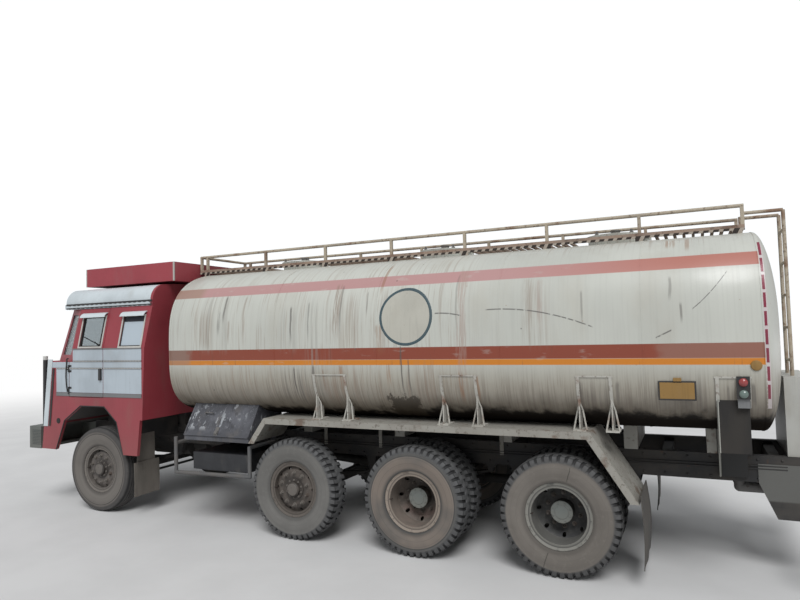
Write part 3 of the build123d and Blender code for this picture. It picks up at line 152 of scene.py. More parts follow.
class TankerColours(bpy.types.PropertyGroup):
    tank: tint("Tank", "Off-white of the tank's sides", (0.52, 0.53, 0.485))
    tank_grime: tint("Tank grime", "Beige film of dust on the tank", (0.36, 0.31, 0.235))
    rust: tint("Rust", "Rust runs and spots", (0.17, 0.062, 0.028))
    band_upper: tint("Upper band", "Faded pink band near the crest", (0.43, 0.245, 0.238))
    band_dark: tint("Dark band", "Red-brown band along the middle", (0.225, 0.044, 0.020))
    band_orange: tint("Orange band", "Orange band under the dark one", (0.56, 0.190, 0.010))
    red: tint("Cab red", "Dull red enamel of the cab", (0.285, 0.042, 0.055))
    roof: tint("Roof white", "Worn white of the cab's roof", (0.56, 0.62, 0.65))
    panel: tint("Side panels", "Pale grey-blue panels on the cab's sides", (0.42, 0.48, 0.53))
    dust: tint("Dust", "Road dust on tyres, rims and chassis", (0.17, 0.15, 0.13))
    plate: tint("Plate", "Yellow of the blank number plates", (0.27, 0.155, 0.040))


class TankerSizes(bpy.types.PropertyGroup):
    lugs: IntProperty(name="Lugs", description="Shoulder lugs round each lugged tyre", default=46,
                      min=12, max=90)
    lug_depth: metres("Lug depth", "Depth of the gaps between the lugs", 0.017)
    nuts: IntProperty(name="Wheel nuts", description="Nuts on each wheel", default=10, min=4, max=12)
    nut_circle: metres("Nut circle", "Radius of the circle of wheel nuts", 0.1675)
    seam_width: metres("Seam width", "Width of the tank's ring welds", 0.012)
    bead_pitch: metres("Bead pitch", "Spacing of the studs on the cab's trim strips", 0.026)
    sun: FloatProperty(name="Sun", description="Strength of the soft key light", default=2.2, min=0.0)
    sky: FloatProperty(name="Sky", description="Strength of the even fill light", default=0.5, min=0.0)


# Finishes

class Finish:
    """A procedural finish: colour, roughness and relief laid down in coats over object space."""

    def __init__(self, name, colour, roughness=0.5, metallic=0.0, coat=0.0):
        self.material = bpy.data.materials.new(name)
        self.material.use_nodes = True
        self.nodes = self.material.node_tree.nodes
        self.links = self.material.node_tree.links
        self.shader = self.nodes["Principled BSDF"]
        self.shader.inputs["Metallic"].default_value = metallic
        self.shader.inputs["Coat Weight"].default_value = coat
        self.shader.inputs["Coat Roughness"].default_value = 0.2
        self.place = self.nodes.new("ShaderNodeTexCoord").outputs["Object"]
        split = self.nodes.new("ShaderNodeSeparateXYZ")
        self.links.new(self.place, split.inputs[0])
        self.x, self.y, self.z = split.outputs
        self.colour = tuple(colour)
        self.rough = roughness
        self.height = None

    def feed(self, socket, value):
        if isinstance(value, bpy.types.NodeSocket):
            self.links.new(value, socket)
        elif socket.type == "RGBA":
            socket.default_value = (*value[:3], 1.0)
        else:
            socket.default_value = value

    def sum(self, operation, a, b=0.0, clamp=False):
        node = self.nodes.new("ShaderNodeMath")
        node.operation = operation
        node.use_clamp = clamp
        self.feed(node.inputs[0], a)
        self.feed(node.inputs[1], b)
        return node.outputs[0]

    def plus(self, a, b):
        return self.sum("ADD", a, b)

    def minus(self, a, b):
        return self.sum("SUBTRACT", a, b)

    def times(self, *factors):
        product = factors[0]
        for factor in factors[1:]:
            product = self.sum("MULTIPLY", product, factor)
        return product

    def either(self, *masks):
        most = masks[0]
        for mask in masks[1:]:
            most = self.sum("MAXIMUM", most, mask)
        return most

    def size(self, value):
        return self.sum("ABSOLUTE", value)

    def texture(self, kind, scale, stretch, shift=0.0):
        """A texture node over object space, stretched along the axes and shifted."""
        mapping = self.nodes.new("ShaderNodeMapping")
        mapping.inputs["Scale"].default_value = stretch
        mapping.inputs["Location"].default_value = (shift, shift * 0.7, shift * 1.3)
        self.links.new(self.place, mapping.inputs["Vector"])
        node = self.nodes.new(kind)
        node.inputs["Scale"].default_value = scale
        self.links.new(mapping.outputs[0], node.inputs["Vector"])
        return node

    def noise(self, scale, detail=4.0, stretch=(1, 1, 1), shift=0.0, roughness=0.55):
        node = self.texture("ShaderNodeTexNoise", scale, stretch, shift)
        node.inputs["Detail"].default_value = detail
        node.inputs["Roughness"].default_value = roughness
        return node.outputs["Fac"]

    def cells(self, scale, stretch=(1, 1, 1)):
        return self.texture("ShaderNodeTexVoronoi", scale, stretch).outputs["Distance"]

    def ramp(self, value, low, high):
        """0 at low, 1 at high, smooth between; low may be above high."""
        node = self.nodes.new("ShaderNodeMapRange")
        node.interpolation_type = "SMOOTHSTEP"
        self.feed(node.inputs["Value"], value)
        if low <= high:
            bounds = (low, high, 0.0, 1.0)
        else:
            bounds = (high, low, 1.0, 0.0)
        for key, number in zip(("From Min", "From Max", "To Min", "To Max"), bounds):
            node.inputs[key].default_value = number
        return node.outputs["Result"]

    def band(self, value, low, high, soft=0.002):
        """1 between low and high, with soft edges."""
        return self.times(self.ramp(value, low - soft, low + soft),
                          self.ramp(value, high + soft, high - soft))

    def blotches(self, noise, low, high):
        """Patches of noise, which fade in between two of its values."""
        return self.ramp(self.noise(*noise), low, high)

    def coat(self, mask, colour=None, roughness=None, strength=1.0):
        """Lays a colour, a roughness or both over what is there, where the mask is 1."""
        if strength != 1.0:
            mask = self.times(mask, strength)
        if colour is not None:
            node = self.nodes.new("ShaderNodeMix")
            node.data_type = "RGBA"
            self.feed(node.inputs[0], mask)
            self.feed(node.inputs[6], self.colour)
            self.feed(node.inputs[7], colour)
            self.colour = node.outputs[2]
        if roughness is not None:
            node = self.nodes.new("ShaderNodeMix")
            self.feed(node.inputs[0], mask)
            self.feed(node.inputs[2], self.rough)
            self.feed(node.inputs[3], roughness)
            self.rough = node.outputs[0]

    def patches(self, *rows):
        """Lays coats in blotches: each row has the noise, its two values, then what coat takes."""
        for noise, values, *paint in rows:
            self.coat(self.blotches(noise, *values), *paint)

    def marked(self, marks):
        """Lays the coat that each mark gives as a mask, a colour and a roughness."""
        for mark in marks:
            self.coat(*mark(self))

    def relief(self, height, amount):
        part = self.times(height, amount)
        self.height = part if self.height is None else self.plus(self.height, part)

    def done(self, distance=0.01):
        self.feed(self.shader.inputs["Base Color"], self.colour)
        self.feed(self.shader.inputs["Roughness"], self.rough)
        if self.height is not None:
            bump = self.nodes.new("ShaderNodeBump")
            bump.inputs["Distance"].default_value = distance
            bump.inputs["Strength"].default_value = 0.6
            self.links.new(self.height, bump.inputs["Height"])
            self.links.new(bump.outputs["Normal"], self.shader.inputs["Normal"])
        return self.material


def shade(colour, factor):
    return tuple(min(1.0, part * factor) for part in colour)


# Low and high edge of the upper, dark and orange bands
BAND_HEIGHTS = ((2.621, 2.730), (1.895, 2.012), (1.841, 1.893))

# Soft zones of fine drips on the tank's sides:
# station, half width, low end, high end, drip fineness, strength, colour
DRIP_ZONES = (
    (-1.95, 0.30, 1.98, 2.68, 26, 0.42, "drip_grey"),
    (-1.80, 0.16, 2.02, 2.50, 44, 0.45, "drip_brown"),
    (-2.98, 0.16, 1.98, 2.50, 30, 0.35, "drip_grey"),
    (-3.34, 0.20, 1.46, 2.55, 34, 0.42, "drip_grey"),
    (-3.72, 0.14, 1.98, 2.60, 40, 0.38, "drip_brown"),
    (-4.12, 0.20, 1.98, 2.62, 30, 0.30, "drip_brown"),
    (-4.55, 0.16, 1.45, 1.90, 40, 0.45, "drip_brown"),
    (-5.62, 0.16, 1.98, 2.62, 30, 0.34, "drip_brown"),
    (-3.10, 0.36, 1.42, 1.84, 44, 0.50, "drip_dark"),
    (-3.62, 0.30, 1.42, 1.84, 40, 0.50, "drip_brown"),
    (-4.95, 0.20, 1.42, 1.80, 44, 0.40, "drip_brown"),
    (-6.10, 0.20, 1.42, 1.72, 44, 0.34, "drip_dark"),
    (-6.90, 0.30, 1.42, 1.80, 36, 0.28, "drip_dark"),
)

# Single runs down the sides: station, half width, top, foot, strength, colour
RUNS = (
    (-2.08, 0.010, 2.62, 2.28, 0.60, "drip_dark"),
    (-2.02, 0.016, 2.45, 2.12, 0.45, "drip_dark"),
    (-2.16, 0.008, 2.34, 2.04, 0.45, "drip_brown"),
    (-2.36, 0.008, 2.60, 2.02, 0.42, "drip_brown"),
    (-2.34, 0.005, 1.84, 1.60, 0.35, "drip_brown"),
    (-3.00, 0.008, 2.46, 2.02, 0.65, "drip_dark"),
    (-3.04, 0.006, 1.82, 1.48, 0.75, "drip_dark"),
    (-3.22, 0.007, 2.50, 2.04, 0.40, "drip_dark"),
    (-3.28, 0.010, 1.84, 1.42, 0.60, "drip_dark"),
    (-3.40, 0.008, 1.80, 1.50, 0.55, "drip_brown"),
    (-3.56, 0.024, 2.68, 2.02, 0.62, "drip_brown"),
    (-3.61, 0.007, 2.66, 2.06, 0.45, "drip_dark"),
    (-3.62, 0.014, 1.84, 1.50, 0.55, "drip_rust"),
    (-3.92, 0.006, 2.58, 2.30, 0.38, "drip_dark"),
    (-4.07, 0.012, 2.86, 2.50, 0.50, "drip_rust"),
    (-4.06, 0.024, 2.24, 1.90, 0.40, "drip_rust"),
    (-4.30, 0.006, 2.03, 1.44, 0.75, "drip_dark"),
    (-4.38, 0.006, 1.90, 1.46, 0.55, "drip_dark"),
    (-4.16, 0.018, 1.86, 1.60, 0.45, "drip_rust"),
    (-4.92, 0.032, 2.74, 1.46, 0.50, "drip_pink"),
    (-4.87, 0.006, 2.70, 2.06, 0.30, "drip_dark"),
    (-5.55, 0.030, 2.62, 2.02, 0.30, "drip_brown"),
    (-5.66, 0.020, 2.60, 2.04, 0.35, "drip_pink"),
    (-6.02, 0.006, 2.48, 2.16, 0.40, "drip_dark"),
    (-6.72, 0.007, 2.56, 2.34, 0.45, "drip_dark"),
    (-6.80, 0.006, 2.34, 2.16, 0.55, "drip_dark"),
    (-6.72, 0.030, 2.92, 2.80, 0.60, "drip_rust"),
    (-6.86, 0.012, 2.92, 2.76, 0.50, "drip_rust"),
    (-7.28, 0.010, 1.70, 1.48, 0.60, "drip_dark"),
    (-4.90, 0.014, 1.78, 1.44, 0.55, "drip_rust"),
    (-5.06, 0.010, 1.74, 1.46, 0.55, "drip_rust"),
    (-5.98, 0.014, 1.70, 1.44, 0.60, "drip_dark"),
    (-6.28, 0.010, 1.70, 1.44, 0.45, "drip_dark"),
    (-7.10, 0.006, 1.68, 1.46, 0.45, "drip_dark"),
)

# Scrapes on the left side: start station and height, end station and height, bow, half width
SCRAPES = (
    (-5.17, 2.345, -6.10, 2.165, 0.055, 0.0045),
    (-6.88, 2.285, -7.14, 2.575, -0.020, 0.0040),
    (-4.66, 2.330, -4.92, 2.300, 0.010, 0.0050),
    (-6.60, 2.06, -6.72, 2.12, 0.000, 0.0050),
)

DRIP_COLOURS = {
    "drip_grey": (0.27, 0.26, 0.235),
    "drip_brown": (0.22, 0.155, 0.115),
    "drip_dark": (0.085, 0.075, 0.068),
    "drip_rust": (0.235, 0.105, 0.040),
    "drip_pink": (0.33, 0.225, 0.19),
}


def tank_runs(f, on_left):
    """Drips, runs and scrapes down the tank's sides, each fading out at its foot."""
    drips = {fine: f.noise(fine, 3, (1.0, 0.0, 0.022), fine * 0.31, 0.6) for fine in (26, 30, 34, 36, 40, 44)}
    for station, half, low, high, fine, strength, colour in DRIP_ZONES:
        across = f.ramp(f.size(f.minus(f.x, ahead(station))), half, half * 0.35)
        down = f.times(f.ramp(f.z, low - 0.05, low + 0.10), f.ramp(f.z, high + 0.04, high - 0.16))
        f.coat(f.times(across, down, f.ramp(drips[fine], 0.44, 0.60)), DRIP_COLOURS[colour], 0.6, strength)
    wander = f.times(f.minus(f.noise(2.6, 2, (1, 0, 1), 4.4), 0.5), 0.05)
    wandering = f.plus(f.x, wander)
    ragged = f.noise(60, 3, (1.0, 0.0, 0.12), 2.7)
    for station, half, top, foot, strength, colour in RUNS:
        away = f.size(f.minus(wandering, ahead(station)))
        edge = f.times(f.minus(1.55, ragged), half * 1.25)
        across = f.ramp(f.minus(away, edge), half * 0.55, -half * 0.35)
        down = f.times(f.ramp(f.z, foot, foot + 0.45 * (top - foot)), f.ramp(f.z, top + 0.012, top - 0.03))
        if half > 0.012:
            across = f.times(across, f.blotches((90, 4, (1.0, 0.0, 0.05), half * 90), 0.40, 0.58))
        f.coat(f.times(across, down), DRIP_COLOURS[colour], 0.6, strength)
    for x0, z0, x1, z1, bow, half in SCRAPES:
        share = f.sum("DIVIDE", f.minus(f.x, ahead(x0)), x1 - x0)
        arch = f.times(share, f.minus(1.0, share), 4 * bow)
        line = f.plus(f.plus(f.times(share, z1 - z0), arch), z0)
        mark = f.times(f.ramp(f.size(f.minus(f.z, line)), half * 1.9, half * 0.5), f.band(share, 0.0, 1.0, 0.02))
        f.coat(f.times(mark, f.blotches((26, 3), 0.34, 0.48), on_left), (0.10, 0.095, 0.09), 0.6, 0.85)


def tank_finish(colours):
    """Off-white enamel with banded stripes, a dust film, drips from the walkway and a black belly."""
    f = Finish("tank_enamel", colours.tank, 0.38, coat=0.2)
    on_left = f.ramp(f.y, 0.2, 0.4)
    side = f.ramp(f.size(f.y), 0.3, 0.32)
    f.patches(
        ((0.8, 4, (1, 1, 0.6)), (0.42, 0.68), shade(colours.tank, 0.88)),
        ((2.6, 6, (1, 1, 0.35), 7.0), (0.48, 0.74), colours.tank_grime, 0.5, 0.22),
        ((52, 3, (1.0, 0.0, 0.02), 5.0), (0.46, 0.66), shade(colours.tank, 0.74), 0.5, 0.22),
    )

    # darker towards the belly, and fine drips off the walkway
    f.coat(f.times(f.ramp(f.z, 1.98, 1.62), side), (0.28, 0.245, 0.19), 0.5, 0.68)
    uneven = f.plus(f.z, f.times(f.noise(3.4, 5, (1, 1, 1), 1.7), 0.25))
    f.coat(f.times(f.ramp(uneven, 1.86, 1.62), side), (0.20, 0.17, 0.135), 0.6, 0.48)
    low_drips = f.times(f.blotches((70, 3, (1.0, 0.0, 0.03), 2.2), 0.47, 0.62), f.ramp(f.z, 1.90, 1.55), side)
    f.coat(low_drips, (0.15, 0.12, 0.095), 0.6, 0.42)
    forward_half = f.either(f.ramp(f.x, ahead(-5.2), ahead(-4.7)), f.ramp(f.z, 2.78, 2.92))
    fine_drips = f.times(f.blotches((58, 3, (1.0, 0.0, 0.035), 9.2), 0.54, 0.68), forward_half)
    f.coat(fine_drips, (0.24, 0.165, 0.12), 0.6, 0.34)

    # the three bands, worn through in places and dusty at both ends
    along = f.band(f.x, TANK_REAR + 0.012, TANK_FRONT + 0.06, 0.003)
    worn = f.blotches((9, 8, (0.5, 1, 1.6), 11.0), 0.60, 0.70)
    hold = f.times(side, along, f.minus(1.0, f.times(worn, 0.22)))
    upper, dark, orange = (f.times(hold, f.band(f.z, low, high, 0.003)) for low, high in BAND_HEIGHTS)
    for band, colour in ((upper, colours.band_upper), (dark, colours.band_dark), (orange, colours.band_orange)):
        f.coat(band, colour, 0.45)
    f.coat(f.times(upper, f.ramp(f.x, ahead(-5.2), ahead(-7.0))), (0.40, 0.140, 0.100), strength=0.85)
    f.coat(f.times(upper, f.ramp(f.x, ahead(-1.75), ahead(-1.62))), (0.33, 0.215, 0.165), strength=0.85)
    cloudy = f.plus(f.x, f.times(f.noise(3.2, 5, (1, 1, 1), 2.2), 0.35))
    f.coat(f.times(dark, f.ramp(cloudy, ahead(-6.42), ahead(-6.52))), (0.255, 0.120, 0.088), 0.55, 0.80)
    nose = f.plus(f.x, f.times(f.noise(5, 5, (1, 1, 1), 6.2), 0.24))
    nose = f.ramp(nose, ahead(-1.50), ahead(-1.42))
    f.coat(f.times(dark, nose), (0.24, 0.155, 0.12), 0.6, 0.85)
    f.coat(f.times(orange, nose), (0.36, 0.20, 0.12), 0.6, 0.7)
    scuffs = f.times(f.either(dark, orange), f.blotches((40, 4, (1, 0, 0.05), 3.3), 0.62, 0.72))
    f.coat(scuffs, (0.10, 0.05, 0.03), 0.6, 0.35)

    tank_runs(f, on_left)

    # oil-black belly darkened further as painted shade, its ragged upper edge dropping towards the front, and a dark
    # spill
    ragged = f.plus(f.z, f.times(f.minus(f.noise(7.5, 6, (1, 1, 0.35), 6.0), 0.5), 0.26))
    ragged = f.plus(ragged, f.times(f.ramp(f.x, ahead(-5.1), ahead(-3.9)), 0.07))
    f.coat(f.ramp(ragged, 1.62, 1.42), (0.115, 0.095, 0.075), 0.6, 0.62)
    f.coat(f.ramp(ragged, 1.475, 1.385), (0.012, 0.010, 0.009), 0.6, 0.97)
    spill_edge = f.times(f.minus(f.noise(15, 8, (1, 1, 0.6), 9.4, 0.7), 0.5), 0.30)
    spill = f.times(f.band(f.plus(f.x, spill_edge), ahead(-4.44), ahead(-4.10), 0.02),
                    f.band(f.plus(f.z, spill_edge), 1.30, 1.535, 0.012))
    f.coat(f.times(spill, on_left), (0.050, 0.040, 0.030), 0.65, 0.88)

    # specks, rust spots and shallow dents
    f.coat(f.times(f.ramp(f.cells(3.6), 0.040, 0.018), side), DRIP_COLOURS["drip_dark"], 0.7, 0.75)
    rust_spots = f.times(f.ramp(f.cells(6.5, (1, 1, 1.3)), 0.050, 0.020), f.blotches((2, 3), 0.48, 0.6))
    f.coat(rust_spots, DRIP_COLOURS["drip_rust"], 0.7, 0.6)
    f.relief(f.noise(9, 6, (1, 1, 1), 3.1), 0.05)
    f.relief(f.noise(1.3, 2, (1, 1, 1.6), 8.0), 0.9)
    shine = f.ramp(f.z, 1.36, 1.56)
    f.feed(f.shader.inputs["Specular IOR Level"], f.times(shine, 0.5))
    f.feed(f.shader.inputs["Coat Weight"], f.times(shine, 0.2))
    return f.done(0.012)


def enamel_finish(name, colour, grime, wear_colour, roughness=0.42, dirt=0.4, marks=()):
    """Brushed-on enamel: uneven tone, dust, small chips and a rougher low part."""
    f = Finish(name, colour, roughness, coat=0.1)
    f.patches(
        ((1.7, 5), (0.4, 0.7), shade(colour, 0.84)),
        ((5.0, 6, (1, 1, 0.35), 2.0), (0.5, 0.75), grime, 0.7, dirt),
        ((46, 3, (1, 1, 0.04), 8.0), (0.52, 0.70), shade(colour, 0.72), 0.6, dirt * 0.8),
    )
    f.coat(f.ramp(f.z, 1.3, 0.7), grime, 0.75, dirt * 0.9)
    f.coat(f.ramp(f.cells(16.0), 0.05, 0.02), wear_colour, 0.7, 0.5)
    f.patches(((38, 3, (1, 1, 1), 5.0), (0.70, 0.76), wear_colour, 0.7, 0.5))
    f.marked(marks)
    f.relief(f.noise(14, 4), 0.08)
    return f.done(0.006)


def rusty_finish(name, colour, rust, dust, share=0.5, marks=()):
    """Old cream or grey paint with rust breaking through and dust on top."""
    f = Finish(name, colour, 0.6)
    f.patches(
        ((5.5, 8, (1, 1, 1), 1.0), (0.62 - 0.2 * share, 0.70), rust, 0.85, 0.85),
        ((30, 5, (1, 1, 1), 4.0), (0.55, 0.68), shade(rust, 0.55), 0.85, 0.6),
        ((3.0, 5, (1, 1, 0.5), 7.0), (0.45, 0.7), dust, 0.85, 0.4),
    )
    f.marked(marks)
    f.relief(f.noise(40, 4), 0.3)
    return f.done(0.004)


def chassis_finish(name, colour, dust, amount=0.6, oil=0.35, marks=()):
    """Black-painted steel under road dust, with oily patches."""
    f = Finish(name, colour, 0.62)
    f.patches(
        ((3.2, 7, (1, 1, 1.3), 3.0), (0.36, 0.66), dust, 0.88, amount),
        ((9.5, 6, (1, 1, 1), 8.0), (0.58, 0.7), (0.012, 0.011, 0.010), 0.4, oil),
        ((24, 4, (1, 1, 1), 6.0), (0.64, 0.72), (0.13, 0.055, 0.028), 0.85, 0.25),
    )
    f.marked(marks)
    f.relief(f.noise(26, 5), 0.35)
    return f.done(0.004)


def rubber_finish(name, colour, dust):
    """Rubber with dust settled down its length and darker smears."""
    f = Finish(name, colour, 0.8)
    f.patches(
        ((4.5, 6, (1, 1, 0.3)), (0.32, 0.66), dust, 0.92, 0.8),
        ((16, 5, (1, 1, 0.2), 3.0), (0.56, 0.7), shade(dust, 0.55), 0.9, 0.5),
    )
    f.relief(f.noise(30, 4), 0.3)
    return f.done(0.003)


def glass_finish(name, colour, roughness, clear, clear_from, marks):
    """Dusty sheet glass, clear ahead of a station and opaque behind it."""
    f = Finish(name, colour, roughness)
    f.feed(f.shader.inputs["Transmission Weight"], f.times(f.ramp(f.x, clear_from - 0.01, clear_from), clear))
    f.shader.inputs["IOR"].default_value = 1.45
    f.patches(((6, 6, (1, 1, 0.4)), (0.45, 0.75), (0.42, 0.41, 0.37), 0.7, 0.35))
    f.marked(marks)
    return f.done()


def cloth_finish(name, colour):
    """Worn vinyl seat cover with a fine grain."""
    f = Finish(name, colour, 0.5)
    f.patches(
        ((6, 5), (0.4, 0.7), shade(colour, 0.6), 0.65),
        ((18, 4, (1, 1, 1), 2.0), (0.6, 0.75), shade(colour, 1.7), 0.7, 0.4),
    )
    f.relief(f.cells(420), 0.35)
    return f.done(0.002)


def lens_finish(name, colour):
    """Moulded lens with vertical flutes."""
    f = Finish(name, colour, 0.18, coat=0.5)
    f.patches(((9, 4), (0.45, 0.75), shade(colour, 0.55), 0.5, 0.5))
    f.relief(f.sum("SINE", f.times(f.y, 260.0)), 0.5)
    return f.done(0.003)


def wheel_distance(f, axle=None):
    """Distance from the axle: in wheel space, or for a packed rim on the axle at this X."""
    x, z = f.x, f.z
    if axle is not None:
        x, z = f.minus(f.x, axle), f.minus(f.z, WHEEL_Z)
    return f.sum("SQRT", f.plus(f.times(x, x), f.times(z, z)))


def tyre_finish(name, wall, tread, ring=None, cracks=()):
    """Rubber in wheel space: an even coat of dust on the wall, thin rings of painted shade on it, pale lug tips and
    gaps darkened as painted shade.
    """
    f = Finish(name, wall, 0.92)
    radius = wheel_distance(f)
    f.patches(
        ((2.4, 3), (0.38, 0.66), shade(wall, 0.84)),
        ((26, 5, (1, 1, 1), 5.0), (0.52, 0.72), shade(wall, 1.16), None, 0.4),
    )
    if ring is not None:
        faded = f.plus(0.35, f.blotches((2.1, 3, (1, 1, 1), 4.0), 0.35, 0.6))
        f.coat(f.times(f.band(radius, 0.305, 0.437, 0.006), faded), ring, 0.92, 0.75)
        f.coat(f.band(radius, 0.437, 0.445, 0.003), shade(tread, 0.6), 0.9, 0.8)
    f.coat(f.ramp(radius, 0.340, 0.300), shade(wall, 0.50), 0.85, 0.7)
    # thin dark rings round the wall: painted shade
    for reach in (0.368, 0.418):
        f.coat(f.band(radius, reach, reach + 0.003, 0.002), shade(wall, 0.7), 0.9, 0.5)
    for angle, low, high in cracks:
        away = f.minus(f.times(f.x, math.sin(angle)), f.times(f.z, math.cos(angle)))
        away = f.plus(away, f.times(f.minus(f.noise(9, 3), 0.5), 0.03))
        outward = f.plus(f.times(f.x, math.cos(angle)), f.times(f.z, math.sin(angle)))
        line = f.times(f.ramp(f.size(away), 0.006, 0.002), f.band(radius, low, high, 0.01),
                       f.ramp(outward, 0.0, 0.1))
        f.coat(line, shade(wall, 0.35), 0.9, 0.8)
    f.coat(f.ramp(radius, 0.452, 0.474), tread, 0.88, 0.9)
    tips = f.times(f.ramp(radius, 0.470, 0.500), f.blotches((16, 5), 0.40, 0.62))
    f.coat(tips, shade(tread, 1.5), 0.9, 0.6)
    # the gaps between the lugs, darkened as painted shade
    lug_face = f.minus(0.2870, f.times(radius, 0.330))
    shaded_gap = f.times(f.ramp(f.minus(lug_face, f.size(f.y)), 0.003, 0.011), f.ramp(radius, 0.466, 0.476))
    f.coat(f.times(shaded_gap, f.ramp(radius, 0.524, 0.519)), (0.018, 0.018, 0.019), 0.9, 0.85)
    f.relief(f.sum("SINE", f.times(radius, 620.0)), 0.03)
    f.relief(f.noise(55, 4), 0.2)
    return f.done(0.003)


def rim_finish(name, paint, grime, edge, axle, dish):
    """Pressed steel rim: painted disc, greasy hub, dust caught on the edges of the well, which on the fourth wheel
    are pale as a painted reflection.
    """
    f = Finish(name, paint, 0.75)
    radius = wheel_distance(f, axle)
    f.patches(
        ((7, 6, (1, 1, 1), 2.0), (0.40, 0.66), shade(paint, 0.62), 0.8),
        ((19, 6, (1, 1, 1), 6.0), (0.52, 0.68), shade(paint, 1.5), 0.85, 0.55),
    )
    f.coat(f.times(f.ramp(radius, 0.150, 0.115), f.blotches((12, 4), 0.3, 0.55)), grime, 0.5, 0.75)
    low = f.ramp(f.z, WHEEL_Z - 0.05, WHEEL_Z - 0.16)
    # the low part of the dish takes the dish colour: paler on the front and third wheels, darker on the second and
    # fourth
    settled = f.times(low, f.band(radius, 0.13, 0.245, 0.02), f.blotches((9, 5, (1, 1, 1), 9.0), 0.38, 0.6))
    f.coat(settled, dish, 0.85, 0.7)
    # the edge ring: dust on most wheels, a pale painted reflection on the fourth
    f.coat(f.ramp(radius, 0.236, 0.246), edge, 0.8, 0.75)
    f.coat(f.times(f.ramp(radius, 0.252, 0.262), f.ramp(radius, 0.286, 0.280)), shade(paint, 0.5), 0.85, 0.6)
    f.relief(f.noise(40, 4), 0.25)
    return f.done(0.003)


def toolbox_finish(dust):
    """Blue-grey sheet metal with short pale scrapes and a scuffed top flange."""
    f = Finish("toolbox_scraped_grey", (0.062, 0.064, 0.074), 0.5)
    f.patches(
        ((4.4, 6), (0.42, 0.66), (0.115, 0.118, 0.135), 0.55, 0.8),
        ((15, 6, (1, 1, 0.5), 5.0), (0.56, 0.68), (0.030, 0.031, 0.036), 0.5, 0.6),
    )
    lid = f.ramp(f.z, 1.08, 1.14)
    strokes = f.noise(17.0, 6, (1.0, 0.7, 0.34), 4.0, 0.62)
    scrapes = f.times(f.ramp(strokes, 0.565, 0.600), lid, f.blotches((2.7, 3, (1, 1, 1), 8.0), 0.40, 0.52))
    f.coat(scrapes, (0.34, 0.36, 0.38), 0.45, 0.8)
    f.coat(f.times(f.blotches((60, 4, (1, 1, 0.5), 1.0), 0.62, 0.68), lid), (0.26, 0.27, 0.29), 0.45, 0.6)
    flange = f.times(f.band(f.z, 1.405, 1.47, 0.008), f.blotches((15, 6, (0.6, 1, 1), 2.0), 0.38, 0.50))
    f.coat(flange, (0.36, 0.37, 0.385), 0.45, 0.85)
    f.coat(f.ramp(f.z, 1.02, 0.90), (0.016, 0.017, 0.019), 0.6, 0.85)
    f.patches(((7, 5, (1, 1, 0.4), 6.0), (0.52, 0.72), dust, 0.85, 0.28))
    f.relief(f.noise(9, 4), 0.5)
    return f.done(0.005)


# Marks: each gives a mask, a colour and a roughness

IRON = (0.020, 0.020, 0.021)


def proud_of_side(f):
    """How far a point stands out of the cab's side."""
    slope = (CAB_HALF - CAB_EAVES_HALF) / (EAVES_Z - BELT_Z)
    above = f.times(f.sum("MAXIMUM", f.minus(f.z, BELT_Z), 0.0), slope)
    return f.minus(f.plus(f.size(f.y), above), CAB_HALF)


def proud_of_nose(f):
    """How far a point stands out of the nose panel."""
    slope = (NOSE_X[0] - NOSE_X[1]) / (COWL_Z - SKIRT_Z)
    return f.minus(f.plus(f.x, f.times(f.minus(f.z, SKIRT_Z), slope)), ahead(NOSE_X[0]))


def ironwork(f):
    return f.times(f.ramp(proud_of_side(f), 0.003, 0.005), f.ramp(f.z, 1.88, 1.87)), IRON, 0.45


def nose_surround(f):
    return f.times(f.ramp(proud_of_nose(f), 0.003, 0.006), f.band(f.z, 1.08, 1.66)), (0.46, 0.45, 0.42), 0.35


def nose_slats(f):
    opening = f.times(f.ramp(f.size(f.y), 0.5205, 0.5195), f.band(f.z, 1.121, 1.619, 0.001))
    return f.times(opening, f.ramp(proud_of_nose(f), 0.003, 0.001)), IRON, 0.5


def dusty_leg(f):
    rear_leg = f.times(f.ramp(f.x, ahead(-7.015), ahead(-7.025)), f.ramp(f.x, ahead(-7.262), ahead(-7.252)))
    return f.times(rear_leg, f.ramp(f.z, 1.56, 1.55)), (0.022, 0.022, 0.022), 0.7


def leg_edge(f):
    edge = f.band(f.x, ahead(-7.046), ahead(-7.026), 0.001)
    return f.times(edge, f.ramp(f.z, 1.57, 1.56)), (0.30, 0.30, 0.27), 0.6


def bumper_bracket(f):
    return f.times(f.ramp(f.size(f.y), 0.47, 0.468), f.ramp(f.z, 0.62, 0.64)), (0.115, 0.115, 0.108), 0.8


def walkway_edge(f):
    """The outer faces of the walkway, below the tread of its slats."""
    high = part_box("walkway")[1]
    tread_z = high.z - 0.028
    outer = f.ramp(f.size(f.y), high.y - 0.012, high.y - 0.008)
    return f.times(outer, f.ramp(f.z, tread_z + 0.002, tread_z - 0.002))


# the gaps between the slats, painted dark as painted shade
def slat_gap_shade(f):
    return walkway_edge(f), (0.030, 0.022, 0.018), 0.8


def slat_ends(f):
    lean = f.plus(f.x, f.times(f.z, 0.5))
    ends = f.ramp(f.sum("SINE", f.times(lean, 2 * math.pi / 0.082)), 0.05, 0.35)
    return f.times(walkway_edge(f), ends), (0.36, 0.31, 0.26), 0.7


def bumper_mesh(f):
    """The punched sheet at the bumper's ends, its holes painted dark as painted shade."""
    low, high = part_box("bumper")
    weave = f.either(*(f.sum("SINE", f.times(way, 2 * math.pi / 0.020)) for way in (f.x, f.z)))
    inside = f.times(f.band(f.x, low.x + 0.05, high.x - 0.05), f.band(f.z, 0.785, 0.990))
    outer = f.ramp(f.size(f.y), high.y - 0.004, high.y - 0.002)
    return f.times(outer, inside, f.ramp(weave, 0.75, 0.45)), (0.035, 0.040, 0.038), 0.6


